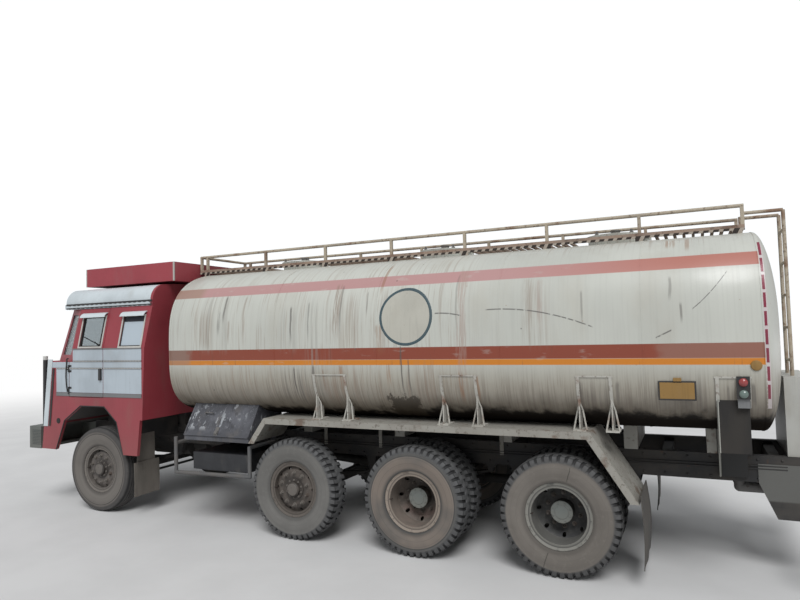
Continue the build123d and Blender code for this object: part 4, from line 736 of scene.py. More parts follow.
def black_post(f):
    return f.times(f.ramp(f.z, 1.034, 1.038), f.ramp(f.z, 1.915, 1.905)), IRON, 0.5


def bright_tip(f):
    return f.ramp(f.z, 1.905, 1.915), (0.52, 0.52, 0.50), 0.3


# the rear pane, dark below as painted shade of the cab behind it
def pane_painted_shade(f):
    rear_pane = f.ramp(f.x, ahead(-0.30), ahead(-0.32))
    return f.times(rear_pane, f.ramp(f.z, 2.372, 2.378)), (0.020, 0.024, 0.034), 0.4


# the top of the rear pane, pale as a painted reflection
def pane_painted_reflection(f):
    rear_pane = f.ramp(f.x, ahead(-0.30), ahead(-0.32))
    return f.times(rear_pane, f.ramp(f.z, 2.378, 2.372)), (0.42, 0.485, 0.54), 0.4


# Wheel paints: axle, disc, edge, dish
RIM_PAINTS = (
    ("front", (0.105, 0.093, 0.085), (0.15, 0.135, 0.12), (0.15, 0.13, 0.115)),
    ("second", (0.088, 0.074, 0.064), (0.11, 0.095, 0.082), (0.035, 0.030, 0.027)),
    ("third", (0.120, 0.102, 0.088), (0.25, 0.21, 0.175), (0.19, 0.135, 0.118)),
    # the fourth wheel's pale edge colour is a painted reflection
    ("fourth", (0.070, 0.070, 0.067), (0.20, 0.195, 0.175), (0.045, 0.045, 0.048)),
)

MADE = {}


def make_finishes(colours):
    """Every finish by name."""
    dust, rust, red = (tuple(colour) for colour in (colours.dust, colours.rust, colours.red))
    chip = (0.05, 0.025, 0.02)
    red_grime = (0.20, 0.12, 0.10)
    tread = (0.075, 0.076, 0.078)

    def white_visor(f):
        visor = f.times(f.ramp(proud_of_side(f), 0.0005, 0.002), f.band(f.z, 2.432, 2.516, 0.002))
        return visor, colours.roof, 0.5

    # finish, material name, colour, grime, wear, roughness, dirt, marks
    enamels = (
        ("red", "cab_red_enamel", red, red_grime, chip, 0.4, 0.24, (ironwork, white_visor)),
        ("red_front", "cab_nose_enamel", red, red_grime, chip, 0.4, 0.24, (nose_surround, nose_slats)),
        ("roof", "roof_white_enamel", colours.roof, (0.33, 0.33, 0.31), (0.16, 0.12, 0.09), 0.42, 0.3),
        ("panel", "side_panel_paint", colours.panel, (0.30, 0.30, 0.29), (0.12, 0.10, 0.08), 0.32, 0.28),
        ("box_red", "roof_box_paint", shade(red, 1.12), (0.24, 0.12, 0.12), (0.30, 0.16, 0.15), 0.5, 0.3),
        ("trim", "bright_trim", (0.50, 0.49, 0.46), (0.22, 0.2, 0.17), (0.12, 0.07, 0.05), 0.35, 0.35),
        ("grey_trim", "grey_trim", (0.17, 0.175, 0.18), (0.2, 0.19, 0.17), (0.06, 0.05, 0.05), 0.5, 0.35),
        ("cabinet", "cabinet_white", (0.46, 0.46, 0.43), (0.25, 0.22, 0.17), rust, 0.5, 0.4),
        ("bumper", "bumper_grey_green", (0.105, 0.120, 0.112), (0.17, 0.16, 0.14), (0.05, 0.04, 0.04), 0.55, 0.45,
         (bumper_mesh, black_post, bright_tip)),
        ("tape_red", "tape_red", (0.23, 0.028, 0.055), dust, (0.4, 0.4, 0.38), 0.3, 0.2),
        ("tape_white", "tape_white", (0.58, 0.52, 0.52), dust, (0.4, 0.3, 0.3), 0.3, 0.25),
        ("plate", "plate_yellow", colours.plate, (0.22, 0.15, 0.08), (0.10, 0.07, 0.05), 0.5, 0.6),
        ("badge_field", "badge_field", (0.46, 0.45, 0.395), (0.30, 0.27, 0.22), rust, 0.4, 0.35),
        ("badge_ring", "badge_ring", (0.050, 0.085, 0.10), (0.14, 0.14, 0.13), (0.3, 0.3, 0.28), 0.4, 0.3),
    )
    # finish, material name, colour, dust, how much dust, how much oil, marks
    painted_steels = (
        ("black", "satin_black", IRON, shade(dust, 0.5), 0.25, 0.2),
        # frame, axle and engine: black and grey paint with dust, darkened further as painted shade under the truck
        ("frame", "dusty_frame_black", (0.016, 0.016, 0.017), shade(dust, 0.42), 0.6),
        ("axle", "dusty_axle_black", (0.013, 0.013, 0.013), shade(dust, 0.36), 0.55),
        ("engine", "oily_engine_grey", (0.030, 0.030, 0.030), shade(dust, 0.40), 0.5, 0.7),
        ("rear_bumper", "rear_bumper_black", (0.024, 0.024, 0.024), shade(dust, 0.55), 0.6, 0.2,
         (bumper_bracket,)),
        ("tube", "dusty_tube_grey", (0.095, 0.097, 0.10), shade(dust, 0.8), 0.6, 0.1),
        ("hub_grey", "dusty_hub_grey", (0.150, 0.165, 0.155), shade(dust, 1.15), 0.4, 0.05),
        ("fuel", "dusty_fuel_tank", (0.05, 0.05, 0.05), shade(dust, 0.8), 0.55, 0.15),
        ("inner", "cab_lining", (0.045, 0.040, 0.038), shade(dust, 0.5), 0.4, 0.05),
    )
    # finish, material name, colour, rust, dust, share of rust, marks
    rusty_steels = (
        ("rail", "rusty_cream_rail", (0.40, 0.345, 0.265), (0.18, 0.095, 0.055), shade(dust, 1.3), 0.62),
        ("walkway", "rusty_walkway", (0.30, 0.215, 0.165), (0.14, 0.075, 0.050), shade(dust, 1.1), 0.7,
         (slat_gap_shade, slat_ends)),
        ("guard", "dusty_guard_grey", (0.285, 0.275, 0.245), (0.14, 0.095, 0.07), shade(dust, 1.1), 0.25),
        ("steel", "dirty_steel", (0.13, 0.125, 0.12), (0.09, 0.055, 0.038), shade(dust, 0.8), 0.6),
        ("nuts", "greasy_nuts", (0.125, 0.112, 0.10), (0.060, 0.040, 0.030), shade(dust, 0.8), 0.5),
        ("hanger", "white_hanger", (0.44, 0.43, 0.39), (0.17, 0.080, 0.045), shade(dust, 1.3), 0.45,
         (dusty_leg, leg_edge)),
    )
    rubbers = (
        ("leg", "rear_leg_black", (0.010, 0.010, 0.011), shade(dust, 0.22)),
        ("flap", "dusty_flap_rubber", (0.050, 0.050, 0.047), shade(dust, 0.62)),
        ("front_flap", "front_flap_rubber", (0.110, 0.100, 0.086), shade(dust, 1.0)),
        ("gasket", "window_gasket", (0.015, 0.015, 0.016), shade(dust, 0.4)),
    )
    lenses = (
        ("lens_clear", "lens_clear", (0.55, 0.56, 0.55)),
        ("lens_red", "lens_red", (0.30, 0.045, 0.045)),
        ("lens_amber", "lens_amber", (0.55, 0.20, 0.02)),
        ("lens_green", "lens_grey_green", (0.14, 0.19, 0.17)),
    )
    # finish and material name, wall, tread, dust ring, cracks
    tyres = (
        ("tyre_front", "tyre_front", (0.135, 0.122, 0.112), (0.055, 0.053, 0.052), (0.15, 0.138, 0.125)),
        ("tyre_second", "tyre_second", (0.150, 0.146, 0.138), tread),
        ("tyre_third", "tyre_third", (0.100, 0.098, 0.094), tread, (0.185, 0.155, 0.132)),
        ("tyre_fourth", "tyre_fourth", (0.158, 0.143, 0.127), shade(tread, 0.85), None,
         ((5.02, 0.33, 0.46), (1.84, 0.32, 0.45))),
    )
    for maker, rows in ((enamel_finish, enamels), (chassis_finish, painted_steels), (rusty_finish, rusty_steels),
                        (rubber_finish, rubbers), (lens_finish, lenses), (tyre_finish, tyres)):
        for finish, *settings in rows:
            MADE[finish] = maker(*settings)
    for wheel, paint, edge, dish in RIM_PAINTS:
        axle = JOINTS[f"{wheel}_wheel_left_spin"]["pos_m"][0]
        MADE[f"rim_{wheel}"] = rim_finish(f"rim_{wheel}_paint", paint, (0.030, 0.025, 0.022), edge, axle, dish)
        # the rim's edge rings; on the fourth wheel their pale colour is a painted reflection
        MADE[f"rim_edge_{wheel}"] = rusty_finish(f"rim_{wheel}_edge", edge, shade(paint, 0.8),
                                                 shade(edge, 1.15), 0.3)
    MADE["tank"] = tank_finish(colours)
    MADE["toolbox"] = toolbox_finish(dust)
    MADE["seat"] = cloth_finish("seat_vinyl", (0.13, 0.05, 0.04))
    MADE["glass"] = glass_finish("dusty_glass", (0.50, 0.56, 0.58), 0.10, 0.75, ahead(-0.30),
                                 (pane_painted_shade, pane_painted_reflection))


# Making shapes

# Faces of a box whose corners run over two values of each of three ranges
BOX_FACES = ((0, 1, 3, 2), (4, 6, 7, 5), (0, 4, 5, 1), (2, 3, 7, 6), (0, 2, 6, 4), (1, 5, 7, 3))


def circle(steps):
    """The angles of evenly spaced points round a circle."""
    return [2 * math.pi * k / steps for k in range(steps)]


def facing_out(x, y, z, way=1):
    """Place for shapes whose axis points sideways, out of the truck."""
    return lambda u, v, w: (x + u, way * (y + w), z + v)


def facing_ahead(x, y, z, way=1):
    """Place for shapes whose axis points forward, or back where way is -1."""
    return lambda u, v, w: (x + way * w, y + u, z + v)


def facing_up(x, y, z):
    """Place for shapes whose axis points up."""
    return lambda u, v, w: (x + u, y + v, z + w)


def on_side(way):
    """Place for outlines drawn in station and height, pushed outwards in Y."""
    return lambda u, v, w: (ahead(u), way * w, v)


def add(name, data, place=None):
    """A new object in the scene."""
    made = bpy.data.objects.new(name, data)
    bpy.context.scene.collection.objects.link(made)
    if place is not None:
        made.matrix_world = place
    return made


def soften(made, width):
    modifier = made.modifiers.new("edges", "BEVEL")
    modifier.width = width
    modifier.segments = 2
    modifier.limit_method = "ANGLE"
    modifier.angle_limit = math.radians(35)
    modifier.harden_normals = False


class Form:
    """A mesh being built in frame metres, with the finish of each new face chosen by name."""

    def __init__(self, *finishes):
        self.mesh = bmesh.new()
        self.finishes = list(finishes)
        self.current = 0

    def use(self, finish):
        if finish not in self.finishes:
            self.finishes.append(finish)
        self.current = self.finishes.index(finish)
        return self

    def faces(self, points, faces):
        made = [self.mesh.verts.new(point) for point in points]
        for corners in faces:
            face = self.mesh.faces.new([made[i] for i in corners])
            face.material_index = self.current
            face.smooth = True
        return self

    def block(self, x, y, z):
        """A box from ranges of X, Y and Z."""
        return self.faces([(a, b, c) for a in sorted(x) for b in sorted(y) for c in sorted(z)], BOX_FACES)

    def flank_sheet(self, flank, stations, heights, depths, way, steps=1):
        """A sheet between two depths on a flank, which gives the half width at a height, raised by a lift."""
        low, high = heights
        for i in range(steps):
            span = (low + (high - low) * i / steps, low + (high - low) * (i + 1) / steps)
            points = [(ahead(x), way * flank(z, lift), z) for x in stations for z in span for lift in depths]
            self.faces(points, BOX_FACES)
        return self

    def cab_sheet(self, x0, x1, z0, z1, thickness, way):
        """A sheet that lies on the cab's side between two stations and two heights."""
        return self.flank_sheet(cab_y, (x0, x1), (z0, z1), (0.0005, thickness), way)

    def nose_sheet(self, y0, y1, z0, z1, thickness):
        """A sheet that lies on the nose panel."""
        points = [(ahead(nose_x(z) + out), y, z)
                  for y in (y0, y1) for z in (z0, z1) for out in (-0.002, thickness)]
        return self.faces(points, BOX_FACES)

    def prism(self, outline, low, high, place):
        """Pushes a flat outline from low to high; place turns (u, v, w) into a point."""
        n = len(outline)
        points = [place(u, v, w) for w in (low, high) for u, v in outline]
        faces = [tuple(range(n))[::-1], tuple(range(n, 2 * n))]
        faces += [(i, (i + 1) % n, n + (i + 1) % n, n + i) for i in range(n)]
        return self.faces(points, faces)

    def loft(self, rings, closed=False):
        """Joins rings of as many points each; an open row of rings gets a cap at both ends."""
        size = len(rings[0])
        points = [point for ring in rings for point in ring]
        faces = []
        for i in range(len(rings) if closed else len(rings) - 1):
            a, b = i * size, ((i + 1) % len(rings)) * size
            faces += [(a + k, a + (k + 1) % size, b + (k + 1) % size, b + k) for k in range(size)]
        if not closed:
            faces += [tuple(range(size))[::-1], tuple(range(len(points) - size, len(points)))]
        return self.faces(points, faces)

    def tube(self, path, radius, sides=10, closed=False):
        """A round bar through a path of points, mitred at each bend."""
        path = [Vector(point) for point in path]
        rings = []
        up = Vector((0, 0, 1))
        for i, point in enumerate(path):
            before = path[i - 1] if (i or closed) else path[i]
            after = path[(i + 1) % len(path)] if (i < len(path) - 1 or closed) else path[i]
            arriving = (point - before).normalized()
            leaving = (after - point).normalized()
            direction = (arriving + leaving).normalized()
            if not rings and abs(direction.z) >= 0.9:
                up = Vector((1, 0, 0))
            up = (up - direction * up.dot(direction)).normalized()
            other = direction.cross(up)
            stretch = 1.0
            if arriving.length and leaving.length:
                stretch = 1 / max(0.5, math.sqrt(max(0.0, (1 + arriving.dot(leaving)) / 2)))
            bend = leaving - arriving
            ring = []
            for angle in circle(sides):
                offset = (up * math.cos(angle) + other * math.sin(angle)) * radius
                if stretch > 1.001 and bend.length > 1e-6:
                    axis = bend.normalized()
                    offset += axis * offset.dot(axis) * (stretch - 1)
                ring.append(point + offset)
            rings.append(ring)
        return self.loft(rings, closed)

    def turned(self, profile, place, steps=32, closed=False):
        """Turns (along, radius) points about an axis; place turns (u, v, w) into a point, w along the axis."""
        return self.loft([[place(radius * math.cos(angle), radius * math.sin(angle), along)
                           for angle in circle(steps)] for along, radius in profile], closed)

    def data(self, name, angle=35):
        """Ends the mesh, its faces turned outwards and its creases sharp."""
        bmesh.ops.recalc_face_normals(self.mesh, faces=self.mesh.faces[:])
        data = bpy.data.meshes.new(name)
        self.mesh.to_mesh(data)
        self.mesh.free()
        for finish in self.finishes:
            data.materials.append(MADE[finish])
        data.set_sharp_from_angle(angle=math.radians(angle))
        return data

    def piece(self, name, body, bevel=0.0, slot=None, place=None):
        """Ends the mesh as an object that rides on a body."""
        made = add(name, self.data(name), place)
        if bevel:
            soften(made, bevel)
        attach(made, body)
        return made


# Wheels

# Half of a tyre's section from the bead to the shoulder, then over the crown: distance from the middle, radius
TYRE_CROWN = 0.5275
TYRE_SIDE = ((0.087, 0.2556), (0.087, 0.2942), (0.1150, 0.2942), (0.1215, 0.312), (0.1225, 0.318), (0.1215, 0.324),
             (0.1300, 0.348), (0.1360, 0.382), (0.1375, 0.412), (0.1350, 0.440), (0.1325, 0.456), (0.1345, 0.462))
RIBBED_CROWN = ((0.1320, 0.478), (0.1235, 0.505), (0.1050, 0.5155), (0.088, 0.5215), (0.0620, 0.5245),
                (0.0600, 0.5155), (0.0530, 0.5155), (0.0510, 0.5258), (0.0260, 0.5270), (0.0240, 0.5155),
                (0.0170, 0.5155), (0.0150, 0.5272), (0.0, TYRE_CROWN))
LUG_CROWN = ((0.1330, 0.468), (0.1290, 0.492), (0.1180, 0.5135), (0.1010, 0.5220), (0.0800, 0.5255),
             (0.0400, 0.5270), (0.0340, 0.5272), (0.0, TYRE_CROWN))
LUG_BASE = 0.465
LUG_LEAN = 0.30


def gap_crown(depth):
    """The crown between two lugs."""
    return ((0.1310, 0.468), (0.1185, 0.484), (0.1080, 0.5000), (0.0960, 0.5075), (0.0780, TYRE_CROWN - depth),
            (0.0400, TYRE_CROWN - depth), (0.0340, 0.5250), (0.0, 0.5262))


def tyre_mesh(count, sections, lean):
    """One tyre in wheel space, its axis along Y: sections at shares of each of count equal turns."""
    rings = []
    for i in range(count):
        for share, crown in sections:
            angle = 2 * math.pi * (i + share) / count
            half = TYRE_SIDE + crown
            ring = []
            for a, r in half + tuple((-a, r) for a, r in half[-2::-1]):
                turn = angle
                if r > LUG_BASE:
                    turn += 2 * math.pi / count * lean * (0.13 - abs(a)) / 0.13 * (1 if a > 0 else -1)
                ring.append((r * math.cos(turn), a, r * math.sin(turn)))
            rings.append(ring)
    return Form().loft(rings, True).data("tyre", 38)


def wheel_place(wheel, way):
    """Where a wheel's own space lies: its middle, turned round for the right side."""
    middle = JOINTS[f"{wheel}_wheel_{'left' if way > 0 else 'right'}_spin"]["pos_m"]
    turn = Matrix.Identity(4) if way > 0 else Matrix.Rotation(math.pi, 4, "Z")
    return Matrix.Translation(middle) @ turn


class TANKER_OT_tyres(bpy.types.Operator):
    """Ribbed front tyres and lugged tyres on the other axles, in place of the plain ones"""
    bl_idname = "tanker.tyres"
    bl_label = "Tyres"

    def execute(self, context):
        sizes = context.scene.tanker_sizes
        gap = gap_crown(sizes.lug_depth)
        ribbed = tyre_mesh(96, ((0.0, RIBBED_CROWN),), 0.0)
        lugged = tyre_mesh(sizes.lugs, ((0.0, LUG_CROWN), (0.52, LUG_CROWN), (0.60, gap), (0.92, gap)), LUG_LEAN)
        for axle, wheel in enumerate(WHEELS):
            base = (ribbed if wheel == "front" else lugged).copy()
            base.materials.append(MADE[f"tyre_{wheel}"])
            rows = (0.0, -TWIN_SPACING) if wheel in TWIN_WHEELS else (0.0,)
            for side, way in SIDES:
                for number, offset in enumerate(rows, 1):
                    spin = Matrix.Rotation(0.5 * math.pi * (number + axle), 4, "Y")
                    place = wheel_place(wheel, way) @ Matrix.Translation((0, offset, 0)) @ spin
                    made = add(f"{wheel}_tread_{side}" + (f"_{number}" if len(rows) > 1 else ""), base, place)
                    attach(made, f"{wheel}_wheel_{side}")
                    if number == 1:
                        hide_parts(f"{wheel}_tyre_{side}")
        return {"FINISHED"}


def nut_ring(form, count, reach, face, radius, height, stud=True):
    """Hexagon nuts on washers, with the end of each stud standing out; in wheel space."""
    for k in range(count):
        angle = 2 * math.pi * (k + 0.5) / count
        place = facing_out(reach * math.cos(angle), face, reach * math.sin(angle))
        form.turned([(-0.004, radius * 1.35), (0.003, radius * 1.35), (0.0045, radius * 1.2)], place, 14)
        form.turned([(0.003, radius), (height * 0.85, radius), (height, radius * 0.82)], place, 6)
        if stud:
            form.turned([(height * 0.8, radius * 0.5), (height + 0.014, radius * 0.5),
                         (height + 0.017, radius * 0.36)], place, 10)


class TANKER_OT_wheel_fittings(bpy.types.Operator):
    """Nuts, hub bolts, hub caps, lock rings and valves on every wheel"""
    bl_idname = "tanker.wheel_fittings"
    bl_label = "Wheel fittings"

    def execute(self, context):
        sizes = context.scene.tanker_sizes
        for wheel in WHEELS:
            for side, way in SIDES:
                form = Form("nuts")
                if wheel in TWIN_WHEELS:
                    nut_ring(form, sizes.nuts, 0.150, -0.148, 0.017, 0.026)
                    form.use("hub_grey")
                    nut_ring(form, 8, 0.080, -0.036, 0.007, 0.008, False)
                    cap, steps = [(-0.05, 0.096), (-0.046, 0.0985), (-0.038, 0.0985), (-0.034, 0.095),
                                  (-0.034, 0.062), (-0.030, 0.058), (-0.030, 0.02)], 40
                else:
                    nut_ring(form, sizes.nuts, sizes.nut_circle, 0.080, 0.018, 0.024)
                    nut_ring(form, 10, 0.092, 0.088, 0.009, 0.010, False)
                    cap, steps = [(0.084, 0.072), (0.119, 0.070), (0.131, 0.060), (0.134, 0.030)], 32
                form.turned(cap, facing_out(0, 0, 0), steps)
                # edge rings of the rim, pale on the fourth wheel as a painted reflection
                form.use(f"rim_edge_{wheel}")
                for ring in ([(-0.004, 0.268), (-0.001, 0.2935), (0.005, 0.2945), (0.008, 0.290), (0.005, 0.284),
                              (0.001, 0.268)],
                             [(-0.030, 0.247), (-0.016, 0.2435), (-0.004, 0.2415), (0.002, 0.2435), (0.002, 0.2475),
                              (-0.012, 0.250)]):
                    form.turned(ring, facing_out(0, RIM_EDGE, 0), 72, True)
                form.use("black")
                form.tube([(0.232, 0.062, 0.0), (0.236, 0.086, 0.0), (0.246, 0.106, 0.004)], 0.0045, 8)
                form.piece(f"{wheel}_wheel_fittings_{side}", f"{wheel}_wheel_{side}",
                           place=wheel_place(wheel, way), slot="rim_paint")
        return {"FINISHED"}


# Tank

def tank_ring(form, station, width, lift, steps=144):
    """A flat band round the tank, open on its inner side."""
    points = [(ahead(x), *tank_point(angle, out)) for angle in circle(steps)
              for x in (station - width / 2, station + width / 2) for out in (-0.002, lift)]
    faces = []
    for k in range(steps):
        a, b = 4 * k, 4 * ((k + 1) % steps)
        faces += [(a + 1, a + 3, b + 3, b + 1), (a, a + 1, b + 1, b), (a + 3, a + 2, b + 2, b + 3)]
    return form.faces(points, faces)


class TANKER_OT_tank_fittings(bpy.types.Operator):
    """Tank shell, ring welds, edge tape, round badge, hanger straps, blank plates and side lamps"""
    bl_idname = "tanker.tank_fittings"
    bl_label = "Tank fittings"

    def execute(self, context):
        self.shell()
        self.welds(context.scene.tanker_sizes.seam_width)
        self.edge_tape()
        self.badge()
        self.straps()
        self.leg_plates()
        self.plates()
        self.lamps()
        return {"FINISHED"}

    def shell(self):
        """The tank itself: a straight body between two dished heads."""
        head_steps, body_steps = 14, 12
        head = []
        for k in range(head_steps + 1):
            scale = max(0.02, math.sin(0.5 * math.pi * k / head_steps))
            head.append((TANK_HEAD * (1 - scale ** HEAD_CURVE) ** (1 / HEAD_CURVE), scale))
        rows = [(TANK_FRONT + out, scale) for out, scale in head]
        rows += [(TANK_FRONT + (TANK_REAR - TANK_FRONT) * k / body_steps, 1.0) for k in range(1, body_steps)]
        rows += [(TANK_REAR - out, scale) for out, scale in reversed(head)]
        rings = [[(x, *tank_point(angle, 0.0, scale)) for angle in circle(144)] for x, scale in rows]
        made = Form("tank").loft(rings).piece("tank_shell", CHASSIS, slot="tank_paint")
        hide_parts("tank")

    def welds(self, width):
        form = Form("tank")
        for station in (TANK_FRONT - AXLE_X - 0.015, -2.78, -4.02, -5.28, -6.50, TANK_REAR - AXLE_X + 0.012):
            tank_ring(form, station, width, 0.0025)
        form.piece("tank_ring_welds", CHASSIS, slot="tank_paint")

    def edge_tape(self):
        """A white strip down each rear edge with red dashes on it."""
        form = Form("tape_white", "tape_red")
        station = TANK_REAR - AXLE_X - 0.004

        def stick(z0, z1, half, under, over):
            for way in WAYS:
                form.flank_sheet(tank_y, (station - half, station + half), (z0, z1), (under, over), way,
                                 max(1, round((z1 - z0) / 0.03)))

        stick(1.50, 2.800, 0.015, 0.0, 0.0024)
        form.use("tape_red")
        rng = random.Random(5)
        z = 1.575
        while z < 2.74:
            stick(z + rng.uniform(0, 0.004), z + 0.118 - rng.uniform(0, 0.006), 0.009, 0.001, 0.0034)
            z += 0.140
        form.piece("edge_tape", CHASSIS)

    def badge(self):
        """A bare disc in a ring on each side, laid on the tank's curve."""
        form = Form("badge_field", "badge_ring")
        centre_x, centre_z, radius = -4.35, 2.31, 0.285
        shares = (0.0, 0.15, 0.30, 0.45, 0.60, 0.75, 0.90, 0.935, 0.97, 1.0)
        field_rows = 6
        steps = 64
        for way in WAYS:
            points = []
            for share in shares:
                lift = 0.0030 if share < 1 else -0.0005
                for angle in circle(steps):
                    height = centre_z + radius * share * math.sin(angle)
                    x = centre_x + radius * share * math.cos(angle)
                    points.append((ahead(x), way * tank_y(height, lift), height))
            for row in range(len(shares) - 1):
                form.use("badge_field" if row < field_rows else "badge_ring")
                form.faces(points[row * steps:(row + 2) * steps],
                           [(k, (k + 1) % steps, steps + (k + 1) % steps, steps + k) for k in range(steps)])
        bmesh.ops.remove_doubles(form.mesh, verts=form.mesh.verts[:], dist=0.0001)
        form.piece("round_badge", CHASSIS)

    def straps(self):
        """Flat bars that hang the mudguards from the tank, each with a splayed foot."""
        form = Form("hanger")
        top, low = 1.742, 1.50
        skin = (-0.003, 0.008)
        for rear_x, front_x in HANGERS:
            for way in WAYS:
                form.flank_sheet(tank_y, (rear_x - 0.02, front_x + 0.02), (top - 0.007, top + 0.007), skin, way)
                for x in (rear_x, front_x):
                    form.flank_sheet(tank_y, (x - 0.013, x + 0.013), (low, top), skin, way, 6)
                    if (rear_x, front_x) == HANGERS[-1]:
                        continue
                    for lean in (-0.055, 0.055):
                        form.tube([(ahead(x), way * (tank_y(1.53) + 0.012), 1.53),
                                   (ahead(x + lean * 0.4), way * (tank_y(1.45) + 0.02), 1.44),
                                   (ahead(x + lean), way * 1.13, 1.275)], 0.008, 8)
        form.piece("hanger_straps", CHASSIS, slot="tank_paint")

    def leg_plates(self):
        form = Form("leg")
        low = 1.145
        for way in WAYS:
            form.use("leg")
            form.block((ahead(-7.250), ahead(-7.035)), (way * 1.138, way * 1.150), (low, 1.560))
            for x in (-7.250, -7.060):
                form.block((ahead(x), ahead(x + 0.012)), (way * 0.80, way * 1.140), (low, 1.42))
            form.use("hanger")
            form.block((ahead(-7.035), ahead(-7.020)), (way * 1.120, way * 1.152), (low, 1.600))
        form.piece("rear_leg_plates", CHASSIS, bevel=0.0015)

    def plates(self):
        """A blank plate on brackets near the rear of each side."""
        form = Form("plate", "black")
        x0, x1, z0, z1 = -6.88, -6.60, 1.555, 1.71
        face_y = tank_y(1.69) + 0.012
        for way in WAYS:
            form.use("black")
            form.block((ahead(x0), ahead(x1)), (way * face_y, way * (face_y - 0.006)), (z0, z1))
            form.use("plate")
            form.block((ahead(x0 + 0.012), ahead(x1 - 0.012)), (way * (face_y - 0.002), way * (face_y + 0.0025)),
                       (z0 + 0.012, z1 - 0.012))
            form.block((ahead(-6.775), ahead(-6.715)), (way * (face_y - 0.03), way * (face_y + 0.012)),
                       (z1 - 0.002, z1 + 0.026))
            form.use("black")
            for z in (z0 + 0.03, z1 - 0.03):
                for x in (-6.80, -6.70):
                    form.block((ahead(x), ahead(x + 0.02)), (way * (tank_y(z) - 0.002), way * (face_y - 0.004)),
                               (z - 0.008, z + 0.008))
        form.piece("side_plates", CHASSIS, bevel=0.0015)

    def lamps(self):
        """A two-lens lamp in a case and a round reflector near the rear of each side."""
        form = Form("lens_red", "lens_green", "black", "plate")
        case_y = tank_y(1.74) - 0.020
        for way in WAYS:
            for finish, x0, x1, z0, z1, inner, outer in (("black", -7.256, -7.164, 1.575, 1.750, 0.05, 0.036),
                                                         ("grey_trim", -7.252, -7.168, 1.505, 1.575, 0.10, 0.020)):
                form.use(finish)
                form.prism([(x0, z0), (x1, z0), (x1, z1), (x0, z1)], case_y - inner, case_y + outer, on_side(way))
            for z, finish in ((1.705, "lens_red"), (1.615, "lens_green")):
                form.use(finish)
                form.turned([(0.0, 0.033), (0.012, 0.032), (0.022, 0.024), (0.027, 0.010)],
                            facing_out(ahead(-7.21), case_y + 0.032, z, way), 24)
            form.use("plate")
            form.turned([(-0.01, 0.040), (0.006, 0.040), (0.012, 0.034), (0.015, 0.012)],
                        facing_out(ahead(-7.305), tank_y(1.835), 1.835, way), 28)
        form.piece("side_lamps", CHASSIS, slot="lamp_lens")


# Cab sides

